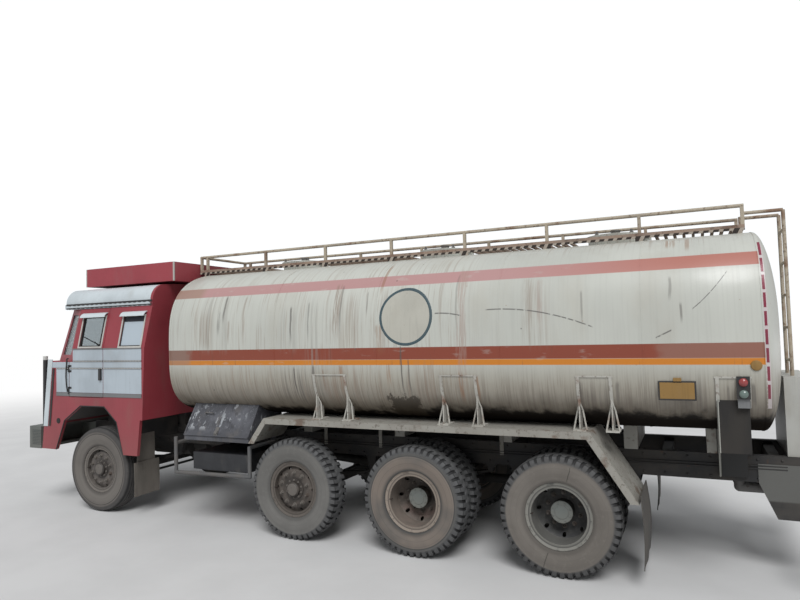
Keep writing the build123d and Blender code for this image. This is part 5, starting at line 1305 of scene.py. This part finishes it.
class TANKER_OT_cab_sides(bpy.types.Operator):
    """Pale panels, studded trim, window frames, corner posts, grab rods and arch lips"""
    bl_idname = "tanker.cab_sides"
    bl_label = "Cab sides"

    def execute(self, context):
        pitch = context.scene.tanker_sizes.bead_pitch
        for side, way in SIDES:
            for span, x0, x1 in (("rear", BACK_X, DOOR_X[0] - 0.006),
                                 ("door", DOOR_X[0] + 0.003, DOOR_X[1] - 0.003),
                                 ("front", DOOR_X[1] + 0.006, PANEL_FRONT)):
                self.panels(span, x0, x1, pitch, side, way)
            self.window_frames(side, way)
            self.corner_post(side, way)
            self.arch_lip(side, way)
        return {"FINISHED"}

    def panels(self, span, x0, x1, pitch, side, way):
        """Three rows of panels with a skirt strip and two studded strips; the top row ends with the door."""
        tall = span != "front"
        top_x1 = min(x1, 0.385)
        form = Form("panel")
        form.cab_sheet(x0, x1, 1.495, 1.795, 0.004, way)
        form.cab_sheet(x0, x1 if tall else nose_x(1.85) - 0.005, 1.812, 1.885, 0.004, way)
        if tall:
            form.cab_sheet(x0, top_x1, 1.903, 2.040, 0.004, way)
        form.use("grey_trim")
        form.cab_sheet(x0, x1, 1.447, 1.492, 0.007, way)
        form.cab_sheet(x0, x1, 1.795, 1.812, 0.009, way)
        if tall:
            form.cab_sheet(x0, top_x1, 1.885, 1.903, 0.009, way)
            form.cab_sheet(x0, top_x1, 2.040, 2.056, 0.008, way)
        form.use("trim")
        count = int((x1 - x0) / pitch)
        for height, end in ((1.8035, x1), (1.894, 0.375))[:2 if tall else 1]:
            for k in range(count):
                x = x0 + (k + 0.5) * (x1 - x0) / count
                if x <= end:
                    form.turned([(0.0, 0.0080), (0.003, 0.007), (0.0050, 0.003)],
                                facing_out(ahead(x), CAB_HALF + 0.0085, height, way), 8)
        form.piece(f"{span}_panels_{side}", f"door_{side}" if span == "door" else CHASSIS, bevel=0.001)

    def window_frames(self, side, way):
        """Bright frames round the side windows with a gasket inside; the door's pane has a slide rail."""
        rim, inner = 0.020, 0.010
        for name, body, x0, x1, z0, z1 in (("door_window", f"door_{side}", -0.125, 0.277, 2.080, 2.450),
                                           ("rear_window", CHASSIS, -0.810, -0.450, 2.075, 2.445)):
            form = Form("trim")
            form.cab_sheet(x0 - rim, x1 + rim, z0 - rim, z0, 0.008, way)
            form.cab_sheet(x0 - rim, x1 + rim, z1, z1 + rim, 0.008, way)
            form.cab_sheet(x0 - rim, x0, z0, z1, 0.008, way)
            form.cab_sheet(x1, x1 + rim, z0, z1, 0.008, way)
            form.use("gasket")
            for stations, heights in (((x0, x1), (z0, z0 + inner)), ((x0, x1), (z1 - inner, z1)),
                                      ((x0, x0 + inner), (z0, z1)), ((x1 - inner, x1), (z0, z1))):
                form.flank_sheet(cab_y, stations, heights, (-0.036, -0.004), way)
            if name == "door_window":
                form.flank_sheet(cab_y, (x0 + 0.012, x0 + 0.055), (z0 + 0.01, z1 - 0.01), (-0.024, -0.016), way)
            form.piece(f"{name}_frame_{side}", body, bevel=0.0012)

    def corner_post(self, side, way):
        """The white corner strip, the dark line behind it, a round recess and the hinge rod."""
        form = Form("roof")
        low, high = 1.045, 1.92
        form.prism([(nose_x(low) - 0.085, low), (nose_x(low) - 0.002, low), (nose_x(high), high),
                    (nose_x(high) - 0.085, high)], CAB_HALF + 0.0005, CAB_HALF + 0.010, on_side(way))
        form.use("black")
        form.prism([(nose_x(1.06) - 0.135, 1.05), (nose_x(1.06) - 0.10, 1.05), (nose_x(1.80) - 0.10, 1.80),
                    (nose_x(1.80) - 0.135, 1.80)], CAB_HALF + 0.0005, CAB_HALF + 0.006, on_side(way))
        form.use("gasket")
        form.turned([(-0.002, 0.036), (0.004, 0.036), (0.005, 0.030)],
                    facing_out(ahead(0.665), CAB_HALF, 1.122, way), 24)
        form.use("black")
        rod = ((0.476, -0.004, 1.93), (0.478, 0.018, 1.925), (0.492, 0.018, 1.80), (0.497, 0.018, 1.70),
               (0.488, 0.018, 1.60), (0.470, 0.018, 1.51), (0.468, -0.004, 1.505))
        form.tube([(ahead(x), way * (CAB_HALF + out), z) for x, out, z in rod], 0.008, 10)
        form.piece(f"corner_post_{side}", CHASSIS, bevel=0.001)

    def arch_lip(self, side, way):
        form = Form("black")
        arch = ((0.712, SKIRT_Z), (0.550, 1.130), (0.250, 1.325), (-0.185, 1.325), (-0.400, 1.143),
                (-0.510, SKIRT_Z))
        for ends in zip(arch, arch[1:]):
            form.tube([(ahead(x), way * (CAB_HALF - 0.001), z) for x, z in ends], 0.007, 8)
        form.piece(f"arch_lip_{side}", CHASSIS)


class TANKER_OT_roof_trim(bpy.types.Operator):
    """Scalloped dark lines of painted shadow under the roof's edge, and pale corner strips on the roof box"""
    bl_idname = "tanker.roof_trim"
    bl_label = "Roof trim"

    def execute(self, context):
        self.eave_shadows()
        self.box_corners()
        return {"FINISHED"}

    def eave_shadows(self):
        """Two dark scalloped rows along both eaves and across the front: painted shadow under the scalloped edge of
        the roof.
        """
        rear_x, front_x, side_y = -0.91, 0.66, CAB_EAVES_HALF
        path = [(rear_x, side_y), (front_x - 0.02, side_y), (front_x + 0.012, side_y - 0.03)]
        path += [(x, -y) for x, y in reversed(path)]
        stations = []
        for (xa, ya), (xb, yb) in zip(path, path[1:]):
            length = math.hypot(xb - xa, yb - ya)
            inward = ((yb - ya) / length, -(xb - xa) / length)
            count = max(1, round(length / 0.012))
            stations += [(xa + (xb - xa) * k / count, ya + (yb - ya) * k / count, inward) for k in range(count)]
        stations.append((*path[-1], inward))
        form = Form("black")
        # rows: top, least drop, depth of the scallops, inner and outer distance from the eaves
        for top, drop, wave, near, far in ((2.640, 0.016, 0.009, 0.0105, 0.015),
                                           (2.590, 0.009, 0.008, 0.0105, 0.014)):
            rings = []
            travel = 0.0
            last = stations[0]
            for x, y, inward in stations:
                travel += math.hypot(x - last[0], y - last[1])
                last = (x, y)
                low = top - drop - wave * abs(math.sin(travel * math.pi / 0.085))
                rings.append([(ahead(x - inward[0] * away), y - inward[1] * away, height)
                              for away, height in ((near, top), (far, top), (far, low), (near, low))])
            form.loft(rings)
        form.piece("roof_fringe", CHASSIS)

    def box_corners(self):
        low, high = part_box("roof_box")
        form = Form("trim")
        edge = 0.016
        for x, inward_x in ((low.x, edge), (high.x, -edge)):
            for y, inward_y in ((low.y, edge), (high.y, -edge)):
                form.block((x - inward_x * 0.08, x + inward_x), (y - inward_y * 0.08, y + inward_y), (low.z, high.z))
        form.piece("roof_box_corners", CHASSIS, bevel=0.001)


class TANKER_OT_cab_front(bpy.types.Operator):
    """Grille surround, screen gaskets, wipers, headlamp rings, blank plate and corner lamps"""
    bl_idname = "tanker.cab_front"
    bl_label = "Cab front"

    def execute(self, context):
        self.nose_trim()
        self.screen()
        self.plate_and_lamp_rings()
        return {"FINISHED"}

    def nose_trim(self):
        form = Form("trim", "gasket", "black")
        for z in (1.70, 1.86):
            form.nose_sheet(-1.18, 1.18, z, z + 0.022, 0.010)
        form.use("panel")
        form.nose_sheet(-1.18, 1.18, 1.725, 1.858, 0.004)
        for finish, y0, y1, z0, z1, thickness in (("lens_amber", 0.98, 1.12, 1.40, 1.47, 0.022),
                                                  ("black", 0.97, 1.13, 1.39, 1.48, 0.012)):
            form.use(finish)
            for way in WAYS:
                form.nose_sheet(way * y0, way * y1, z0, z1, thickness)
        form.piece("nose_trim", CHASSIS, bevel=0.002)

    def screen(self):
        """A gasket round each half of the windscreen and the two wipers, both swept the same way."""
        form = Form("gasket", "black")

        def on_screen(y, z, out):
            share = (z - COWL_Z) / (EAVES_Z - COWL_Z)
            return (ahead(NOSE_X[1] + (SCREEN_TOP_X - NOSE_X[1]) * share + out), y, z)

        for way, pivot_y, tip_y in ((1, 0.30, 0.80), (-1, -0.80, -0.30)):
            form.use("gasket")
            outline = ((0.030, 1.960), (0.985, 1.960), (0.915, 2.505), (0.030, 2.505))
            form.tube([on_screen(way * y, z, -0.002) for y, z in outline], 0.011, 8, True)
            form.use("black")
            form.tube([on_screen(pivot_y, 1.935, 0.012), on_screen(pivot_y, 1.950, 0.024),
                       on_screen((pivot_y + tip_y) / 2, 2.13, 0.024)], 0.006, 8)
            form.tube([on_screen(pivot_y + 0.05, 2.03, 0.014), on_screen(tip_y + 0.02, 2.24, 0.014)], 0.007, 6)
        form.piece("screen_gaskets_and_wipers", CHASSIS)

    def plate_and_lamp_rings(self):
        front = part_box("bumper")[1].x
        form = Form("trim", "plate", "black")
        for way in WAYS:
            form.turned([(-0.006, 0.0955), (0.0, 0.098), (0.0, 0.112), (-0.006, 0.114)],
                        facing_ahead(front, way * 0.930, 0.885), 40, True)
        form.use("black")
        form.block((front - 0.004, front), (-0.27, 0.27), (0.80, 0.94))
        form.use("plate")
        form.block((front - 0.003, front), (-0.255, 0.255), (0.812, 0.928))
        form.piece("front_plate_and_lamp_rings", CHASSIS)


def stuff(made, pressure=4.0, cap=0.014, frames=20):
    """Inflates a cushion with the cloth solver, limits how far it moves and applies the result."""
    scene = bpy.context.scene
    rest = [v.co.copy() for v in made.data.vertices]
    cloth = made.modifiers.new("cloth", "CLOTH")
    cloth.settings.use_pressure = True
    cloth.settings.uniform_pressure_force = pressure
    cloth.settings.effector_weights.gravity = 0.0
    cloth.settings.quality = 5
    cloth.point_cache.frame_start = 1
    cloth.point_cache.frame_end = frames
    for number in range(1, frames + 1):
        scene.frame_set(number)
    graph = bpy.context.evaluated_depsgraph_get()
    result = made.evaluated_get(graph).to_mesh()
    moved = [v.co.copy() for v in result.vertices]
    made.modifiers.remove(cloth)
    for vert, start, end in zip(made.data.vertices, rest, moved):
        step = end - start
        if step.length > cap:
            step = step.normalized() * cap
        vert.co = start + step
    scene.frame_set(1)


class TANKER_OT_cab_inside(bpy.types.Operator):
    """Stuffed seats, the steering wheel, gauges and the gear lever"""
    bl_idname = "tanker.cab_inside"
    bl_label = "Cab inside"

    def execute(self, context):
        for side, way in SIDES:
            self.seat(side, way)
        self.controls()
        return {"FINISHED"}

    def seat(self, side, way):
        """A pad and a back, each rounded, stuffed and sewn into channels along its face."""
        low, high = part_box("seat_cushions")
        middle_y, half_y = way * 0.80, 0.215
        # cushion, X, Z, axis that its face looks along, axis that its channels follow one another on
        for name, xs, zs, face_axis, row_axis in (
                ("seat_pad", (low.x + 0.125, high.x - 0.015), (low.z + 0.012, low.z + 0.098), 2, 0),
                ("seat_back", (low.x + 0.015, low.x + 0.098), (low.z + 0.115, high.z - 0.015), 0, 2)):
            form = Form("seat").block(xs, (middle_y - half_y, middle_y + half_y), zs)
            made = form.piece(f"{name}_{side}", CHASSIS, slot="seat_cloth")
            remesh = made.modifiers.new("voxels", "REMESH")
            remesh.mode = "VOXEL"
            remesh.voxel_size = 0.009
            made.modifiers.new("round", "SMOOTH").iterations = 6
            graph = bpy.context.evaluated_depsgraph_get()
            shaped = bpy.data.meshes.new_from_object(made.evaluated_get(graph))
            made.modifiers.clear()
            made.data = shaped
            stuff(made)
            bounds = {0: xs, 2: zs}
            for vert in shaped.vertices:
                if vert.co[face_axis] > sum(bounds[face_axis]) / 2:
                    across = vert.co[row_axis] - bounds[row_axis][0]
                    groove = abs(((across + 0.045) % 0.09) - 0.045) / 0.010
                    vert.co[face_axis] -= 0.007 * max(0.0, 1 - groove)
            shaped.polygons.foreach_set("use_smooth", [True] * len(shaped.polygons))
            if name == "seat_pad" and side == "left":
                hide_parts("seat_cushions")

    def controls(self):
        form = Form("black", "trim", "inner")
        centre = Vector((ahead(0.250), -0.800, 1.880))
        foot = Vector((ahead(0.560), -0.800, 1.480))
        axis = (centre - foot).normalized()
        across = Vector((0, 1, 0))
        up = axis.cross(across).normalized()

        def on_wheel(u, v, w):
            return centre + across * u + up * v + axis * w

        form.tube([on_wheel(0.225 * math.cos(a), 0.225 * math.sin(a), 0) for a in circle(40)], 0.0165, 10, True)
        form.turned([(-0.012, 0.055), (0.018, 0.052), (0.024, 0.030)], on_wheel, 24)
        form.use("trim")
        for y in (-0.98, -0.87, -0.73, -0.62):
            form.turned([(0.0, 0.045), (0.006, 0.045), (0.006, 0.039), (0.002, 0.038)],
                        facing_ahead(ahead(0.430), y, 1.745, -1), 24)
        form.use("black")
        form.tube([(ahead(0.30), -0.10, 1.54), (ahead(0.22), -0.12, 1.76), (ahead(0.16), -0.14, 1.88)], 0.010, 10)
        form.turned([(-0.018, 0.012), (-0.006, 0.024), (0.010, 0.024), (0.022, 0.010)],
                    facing_up(ahead(0.155), -0.142, 1.885), 16)
        form.piece("steering_wheel_and_controls", CHASSIS)


class TANKER_OT_flaps(bpy.types.Operator):
    """Bowed rubber mudflaps behind the front wheels and behind the fourth axle"""
    bl_idname = "tanker.flaps"
    bl_label = "Mudflaps"

    def execute(self, context):
        for side, way in SIDES:
            self.flap(f"rear_flap_{side}", "flap", -6.430, (0.610, 1.210), (0.172, 0.768), way, 0.030, 3.0)
            self.flap(f"front_flap_{side}", "front_flap", -0.650, (0.790, 1.175), (0.242, 0.650), way, 0.010, 1.3)
            self.flap(f"front_flap_top_{side}", "front_flap", -0.640, (0.850, 1.120), (0.610, 0.988), way,
                      0.004, 0.7)
        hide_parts("mudflaps")
        return {"FINISHED"}

    def flap(self, name, finish, station, y_range, z_range, way, bow, waves):
        """A sheet of rubber, bowed backwards and rippled at its foot, with its two faces 8 mm apart."""
        rows, columns = 18, 12
        width = columns + 1
        points = []
        for half_thickness in (-0.004, 0.004):
            for i in range(rows + 1):
                share = i / rows
                z = z_range[1] + (z_range[0] - z_range[1]) * share
                for k in range(width):
                    t = k / columns
                    y = way * (y_range[0] + (y_range[1] - y_range[0]) * t)
                    swing = -bow * math.sin(share * math.pi * 0.9) * (1.0 - 0.4 * t)
                    ripple = 0.004 * share * math.sin(t * math.pi * waves)
                    points.append((ahead(station) + swing + ripple + half_thickness, y, z))
        size = (rows + 1) * width
        corners = [start + i * width + k for start in (0, size) for i in range(rows) for k in range(columns)]
        faces = [(a, a + 1, a + 1 + width, a + width) for a in corners]
        rim = list(range(width))
        rim += [i * width + columns for i in range(1, rows + 1)]
        rim += [rows * width + k for k in range(columns - 1, -1, -1)]
        rim += [i * width for i in range(rows - 1, 0, -1)]
        faces += [(a, b, b + size, a + size) for a, b in zip(rim, rim[1:] + rim[:1])]
        Form(finish).faces(points, faces).piece(name, CHASSIS, slot="flap_rubber")


# Chassis and the rest

class TANKER_OT_toolbox_fittings(bpy.types.Operator):
    """Edge folds, hasp, lock and handle on the toolbox lid"""
    bl_idname = "tanker.toolbox_fittings"
    bl_label = "Toolbox fittings"

    def execute(self, context):
        low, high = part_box("toolbox_lid")
        run = Vector((0, high.y - low.y, low.z - high.z)).normalized()
        normal = Vector((0, -run.z, run.y))
        middle = (low + high) / 2 + normal * 0.006
        along_x = Vector((1, 0, 0))

        def on_lid(u, v, w):
            return middle + along_x * u + run * v + normal * w

        def plate(u0, u1, v0, v1, inner, outer):
            form.prism([(u0, v0), (u1, v0), (u1, v1), (u0, v1)], inner, outer, on_lid)

        form = Form("toolbox", "steel")
        length = (high.x - low.x) / 2
        depth = math.hypot(high.y - low.y, high.z - low.z) / 2
        hinge_side = -depth + 0.045
        plate(-length, length, hinge_side, hinge_side + 0.02, -0.001, 0.004)
        plate(-length, length, depth - 0.028, depth - 0.008, -0.001, 0.004)
        plate(-length, -length + 0.02, hinge_side, depth - 0.01, -0.001, 0.004)
        plate(length - 0.02, length, hinge_side, depth - 0.01, -0.001, 0.004)
        form.use("steel")
        plate(-0.025, 0.025, depth - 0.12, depth - 0.02, 0.0, 0.006)
        plate(-0.02, 0.02, depth - 0.07, depth - 0.035, 0.006, 0.020)
        handle = ((0.14, 0.0), (0.14, 0.026), (0.24, 0.026), (0.24, 0.0))
        form.tube([on_lid(u, -0.02, w) for u, w in handle], 0.006, 8)
        form.piece("toolbox_lid_fittings", "toolbox_lid", bevel=0.001, slot="toolbox_black")
        return {"FINISHED"}


class TANKER_OT_chassis_fittings(bpy.types.Operator):
    """Rivets on the rails, spring clamps, brake chambers, air lines and fuel tank straps"""
    bl_idname = "tanker.chassis_fittings"
    bl_label = "Chassis fittings"

    def execute(self, context):
        self.rivets()
        self.spring_clamps()
        self.brake_chambers()
        self.air_lines()
        self.fuel_tank_straps()
        return {"FINISHED"}

    def rivets(self):
        form = Form("frame")
        for way in WAYS:
            x = -7.70
            while x < 0.90:
                for z in (0.815, 0.975):
                    form.turned([(-0.001, 0.013), (0.004, 0.011), (0.008, 0.005)],
                                facing_out(ahead(x), 0.450, z, way), 8)
                x += 0.185
        form.piece("rail_rivets", CHASSIS)

    def spring_clamps(self):
        """Two long bolt pairs and a plate over each leaf spring's seat."""
        form = Form("axle")
        for station, seat in SPRING_SEATS:
            top = seat + 0.074
            for way in WAYS:
                for x in (ahead(station - 0.075), ahead(station + 0.075)):
                    for dy in (-0.047, 0.047):
                        y = way * (0.412 + dy)
                        form.tube([(x, y, seat - 0.10), (x, y, top + 0.016)], 0.009, 8)
                form.block((ahead(station - 0.10), ahead(station + 0.10)), (way * 0.355, way * 0.469),
                           (top, top + 0.014))
        form.piece("spring_clamps", CHASSIS, bevel=0.002)

    def brake_chambers(self):
        form = Form("steel")
        drum = [(-0.07, 0.05), (-0.06, 0.078), (0.0, 0.082), (0.004, 0.092), (0.012, 0.092), (0.016, 0.080),
                (0.06, 0.070), (0.075, 0.03)]
        for station, _ in SPRING_SEATS[2:]:
            x = ahead(station)
            for way in WAYS:
                y = way * 0.60
                form.turned(drum, facing_ahead(x + 0.17, y, 0.70), 28)
                form.tube([(x + 0.10, y, 0.70), (x + 0.02, y, 0.66), (x, y, 0.58)], 0.014, 8)
        form.piece("brake_chambers", CHASSIS)

    def air_lines(self):
        form = Form("black")
        for z in (0.90, 0.925):
            for way in WAYS:
                form.tube([(ahead(x), way * 0.458, z - sag)
                           for x, sag in ((0.60, 0), (-2.2, 0), (-4.6, 0.01), (-7.55, 0))], 0.006, 6)
        form.piece("air_lines", CHASSIS)

    def fuel_tank_straps(self):
        low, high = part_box("fuel_tank")
        form = Form("steel")
        y0, y1, z0, z1, r = low.y - 0.003, low.y + 0.58, low.z - 0.003, high.z + 0.003, 0.09
        middle_y, middle_z = (y0 + y1) / 2, (z0 + z1) / 2
        outline = [(y1, z1), (y0 + r, z1), (y0 + r * 0.3, z1 - r * 0.3), (y0, z1 - r), (y0, z0 + r),
                   (y0 + r * 0.3, z0 + r * 0.3), (y0 + r, z0), (y1, z0)]
        for share in (0.18, 0.82):
            x = low.x + (high.x - low.x) * share
            for ends in zip(outline, outline[1:]):
                form.faces([(px, y + math.copysign(grow, y - middle_y), z + math.copysign(grow, z - middle_z))
                            for px in (x - 0.022, x + 0.022) for y, z in ends for grow in (0.0, 0.004)], BOX_FACES)
        form.piece("fuel_tank_straps", CHASSIS)


class TANKER_OT_walkway_fittings(bpy.types.Operator):
    """A domed cover, a vent and four clamps on each manhole lid"""
    bl_idname = "tanker.walkway_fittings"
    bl_label = "Walkway fittings"

    def execute(self, context):
        for number in (1, 2, 3):
            centre_x = JOINTS[f"manhole_lid_{number}_hinge"]["pos_m"][0] + 0.324
            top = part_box(f"manhole_lid_{number}")[1].z - 0.010
            form = Form("tank", "steel")
            form.turned([(-0.002, 0.215), (0.010, 0.205), (0.018, 0.150), (0.022, 0.0501)],
                        facing_up(centre_x, 0, top), 40)
            form.use("steel")
            form.turned([(0.015, 0.045), (0.045, 0.045), (0.050, 0.052), (0.062, 0.052), (0.066, 0.044)],
                        facing_up(centre_x, 0, top), 24)
            for angle in (0.9, 2.3, 3.98, 5.38):
                form.turned([(-0.001, 0.020), (0.012, 0.020), (0.014, 0.012), (0.036, 0.012), (0.040, 0.008)],
                            facing_up(centre_x + 0.255 * math.cos(angle), 0.255 * math.sin(angle), top), 12)
            form.piece(f"manhole_lid_fittings_{number}", f"manhole_lid_{number}", slot="tank_paint")
        return {"FINISHED"}


class TANKER_OT_rear_fittings(bpy.types.Operator):
    """Cabinet handle, rear lamps in their cases, blank plate and tow eye"""
    bl_idname = "tanker.rear_fittings"
    bl_label = "Rear fittings"

    def execute(self, context):
        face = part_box("cabinet_door")[0].x
        form = Form("steel")
        form.block((face - 0.001, face + 0.004), (-0.36, -0.30), (1.33, 1.45))
        handle = ((0.002, 1.36), (-0.022, 1.365), (-0.022, 1.415), (0.002, 1.42))
        form.tube([(face + out, -0.33, z) for out, z in handle], 0.006, 8)
        form.piece("cabinet_door_handle", "cabinet_door")

        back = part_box("rear_bumper")[0].x
        lamp_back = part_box("lamps")[0].x
        form = Form("lens_red", "lens_amber", "plate", "black", "lens_clear")
        for way in WAYS:
            for y0, y1, finish in ((0.795, 0.862, "lens_red"), (0.866, 0.933, "lens_amber"),
                                   (0.937, 1.005, "lens_clear")):
                form.use(finish)
                form.block((lamp_back, lamp_back + 0.004), (way * y0, way * y1), (0.478, 0.572))
        form.use("black")
        form.block((back - 0.003, back + 0.001), (-0.27, 0.27), (0.460, 0.590))
        form.use("plate")
        form.block((back - 0.0045, back), (-0.255, 0.255), (0.470, 0.580))
        form.use("black")
        form.tube([(back + 0.01, -0.06, 0.66), (back - 0.008, -0.05, 0.70), (back - 0.008, 0.05, 0.70),
                   (back + 0.01, 0.06, 0.66)], 0.012, 10)
        form.piece("rear_lenses_and_plate", CHASSIS, bevel=0.001)
        return {"FINISHED"}


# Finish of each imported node; the wheels have their own, and what isn't named is an axle part
NODE_FINISHES = {
    "tank": "tank", "manhole_collars": "tank", "manhole_lid_1": "tank", "manhole_lid_2": "tank",
    "manhole_lid_3": "tank", "tank_mounts": "hanger", "cab_back": "red", "cab_sides": "red", "door_left": "red",
    "door_right": "red", "cab_front": "red_front", "cab_roof": "roof", "roof_box": "box_red", "cab_glass": "glass",
    "cab_floor": "inner", "dashboard": "inner", "seat_cushions": "seat", "bumper": "bumper",
    "walkway": "walkway", "railings": "rail", "ladder": "rail", "cabinet": "cabinet", "cabinet_door": "cabinet",
    "mudguards": "guard", "mudflaps": "flap", "toolbox": "toolbox", "toolbox_lid": "toolbox",
    "side_guards": "tube", "fuel_tank": "fuel", "outlet_pipes": "steel", "exhaust": "steel", "engine": "engine",
    "chassis_frame": "frame", "air_tanks": "frame", "lamps": "lens_clear", "rear_bumper": "rear_bumper",
}


class TANKER_OT_finishes(bpy.types.Operator):
    """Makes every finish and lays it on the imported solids"""
    bl_idname = "tanker.finishes"
    bl_label = "Finishes"

    def execute(self, context):
        make_finishes(context.scene.tanker_colours)
        for name, node in frame["nodes"].items():
            finish = NODE_FINISHES.get(name, "axle")
            for kind in ("rim", "tyre"):
                if f"_{kind}_" in name:
                    finish = f"{kind}_{name.split('_')[0]}"
            node.data.materials.clear()
            node.data.materials.append(MADE[finish])
        return {"FINISHED"}


# Stage

# Camera in frame metres, its angles in degrees and its lens in millimetres
CAMERA_PLACE = (-3.609, 6.680, 2.181)
CAMERA_YAW = 25.347
CAMERA_PITCH = 2.765
CAMERA_ROLL = -1.582
CAMERA_LENS = 27.97


class TANKER_OT_stage(bpy.types.Operator):
    """Pale floor, white surroundings, soft light and the camera"""
    bl_idname = "tanker.stage"
    bl_label = "Stage"

    def execute(self, context):
        scene = context.scene
        sizes = scene.tanker_sizes
        scene.view_settings.view_transform = "Standard"
        self.floor()
        self.world(scene, sizes.sky)
        sun = add("soft_key", bpy.data.lights.new("soft_key", "SUN"))
        sun.data.energy = sizes.sun
        sun.data.angle = math.radians(28)
        sun.rotation_mode = "QUATERNION"
        sun.rotation_quaternion = Vector((-0.30, 0.62, 0.80)).to_track_quat("Z", "Y")
        self.camera(scene)
        return {"FINISHED"}

    def floor(self):
        reach = 90.0
        data = bpy.data.meshes.new("floor")
        corners = [(x * reach, y * reach, 0) for x, y in ((-1, -1), (1, -1), (1, 1), (-1, 1))]
        data.from_pydata(corners, [], [(0, 1, 2, 3)])
        floor = add("floor", data)
        f = Finish("pale_floor", (0.62, 0.62, 0.62), 0.9)
        radius = f.sum("SQRT", f.plus(f.times(f.x, f.x), f.times(f.y, f.y)))
        far = f.ramp(radius, 9.0, 26.0)
        f.patches(((1.2, 5), (0.3, 0.7), (0.58, 0.58, 0.58)))
        material = f.done()
        glow = f.nodes.new("ShaderNodeEmission")
        glow.inputs["Color"].default_value = (1, 1, 1, 1)
        mix = f.nodes.new("ShaderNodeMixShader")
        path = f.nodes.new("ShaderNodeLightPath")
        seen = f.either(path.outputs["Is Camera Ray"], path.outputs["Is Glossy Ray"])
        f.links.new(f.times(far, seen), mix.inputs[0])
        f.links.new(f.shader.outputs[0], mix.inputs[1])
        f.links.new(glow.outputs[0], mix.inputs[2])
        f.links.new(mix.outputs[0], f.nodes["Material Output"].inputs["Surface"])
        data.materials.append(material)

    def world(self, scene, strength):
        world = bpy.data.worlds.new("white_room")
        scene.world = world
        world.use_nodes = True
        nodes, links = world.node_tree.nodes, world.node_tree.links
        back = nodes["Background"]
        back.inputs["Color"].default_value = (0.96, 0.98, 1.0, 1)
        path = nodes.new("ShaderNodeLightPath")
        seen = nodes.new("ShaderNodeMath")
        seen.operation = "MAXIMUM"
        links.new(path.outputs["Is Camera Ray"], seen.inputs[0])
        links.new(path.outputs["Is Transmission Ray"], seen.inputs[1])
        mix = nodes.new("ShaderNodeMix")
        links.new(seen.outputs[0], mix.inputs[0])
        mix.inputs[2].default_value = strength
        mix.inputs[3].default_value = 1.05
        links.new(mix.outputs[0], back.inputs["Strength"])

    def camera(self, scene):
        yaw, pitch, roll = (math.radians(a) for a in (CAMERA_YAW, CAMERA_PITCH, CAMERA_ROLL))
        look = Vector((math.sin(yaw) * math.cos(pitch), -math.cos(yaw) * math.cos(pitch), math.sin(pitch)))
        right = look.cross(Vector((0, 0, 1))).normalized()
        up = right.cross(look)
        rolled_right = math.cos(roll) * right + math.sin(roll) * up
        rolled_up = -math.sin(roll) * right + math.cos(roll) * up
        axes = Matrix((rolled_right, rolled_up, -look)).transposed().to_4x4()
        camera = add("camera", bpy.data.cameras.new("camera"), Matrix.Translation(CAMERA_PLACE) @ axes)
        camera.data.lens = CAMERA_LENS
        camera.data.sensor_width = 36.0
        camera.data.clip_end = 300.0
        scene.camera = camera


class TANKER_PT_panel(bpy.types.Panel):
    """Lists the operators and the settings"""
    bl_idname = "TANKER_PT_panel"
    bl_label = "Tanker"
    bl_space_type = "VIEW_3D"
    bl_region_type = "UI"
    bl_category = "Tanker"

    def draw(self, context):
        layout = self.layout
        for operator in OPERATORS:
            layout.operator(operator.bl_idname)
        for group in (context.scene.tanker_colours, context.scene.tanker_sizes):
            box = layout.box()
            for key in group.__annotations__:
                box.prop(group, key)


OPERATORS = (TANKER_OT_finishes, TANKER_OT_tyres, TANKER_OT_wheel_fittings, TANKER_OT_tank_fittings,
             TANKER_OT_cab_sides, TANKER_OT_roof_trim, TANKER_OT_cab_front, TANKER_OT_cab_inside, TANKER_OT_flaps,
             TANKER_OT_toolbox_fittings, TANKER_OT_chassis_fittings, TANKER_OT_walkway_fittings,
             TANKER_OT_rear_fittings, TANKER_OT_stage)
CLASSES = (TankerColours, TankerSizes, *OPERATORS, TANKER_PT_panel)


def register():
    for item in CLASSES:
        bpy.utils.register_class(item)
    bpy.types.Scene.tanker_colours = PointerProperty(type=TankerColours)
    bpy.types.Scene.tanker_sizes = PointerProperty(type=TankerSizes)


def unregister():
    del bpy.types.Scene.tanker_sizes
    del bpy.types.Scene.tanker_colours
    for item in reversed(CLASSES):
        bpy.utils.unregister_class(item)


def main():
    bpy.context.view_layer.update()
    register()
    for operator in OPERATORS:
        group, name = operator.bl_idname.split(".")
        getattr(getattr(bpy.ops, group), name)()


if __name__ == "__main__":
    main()
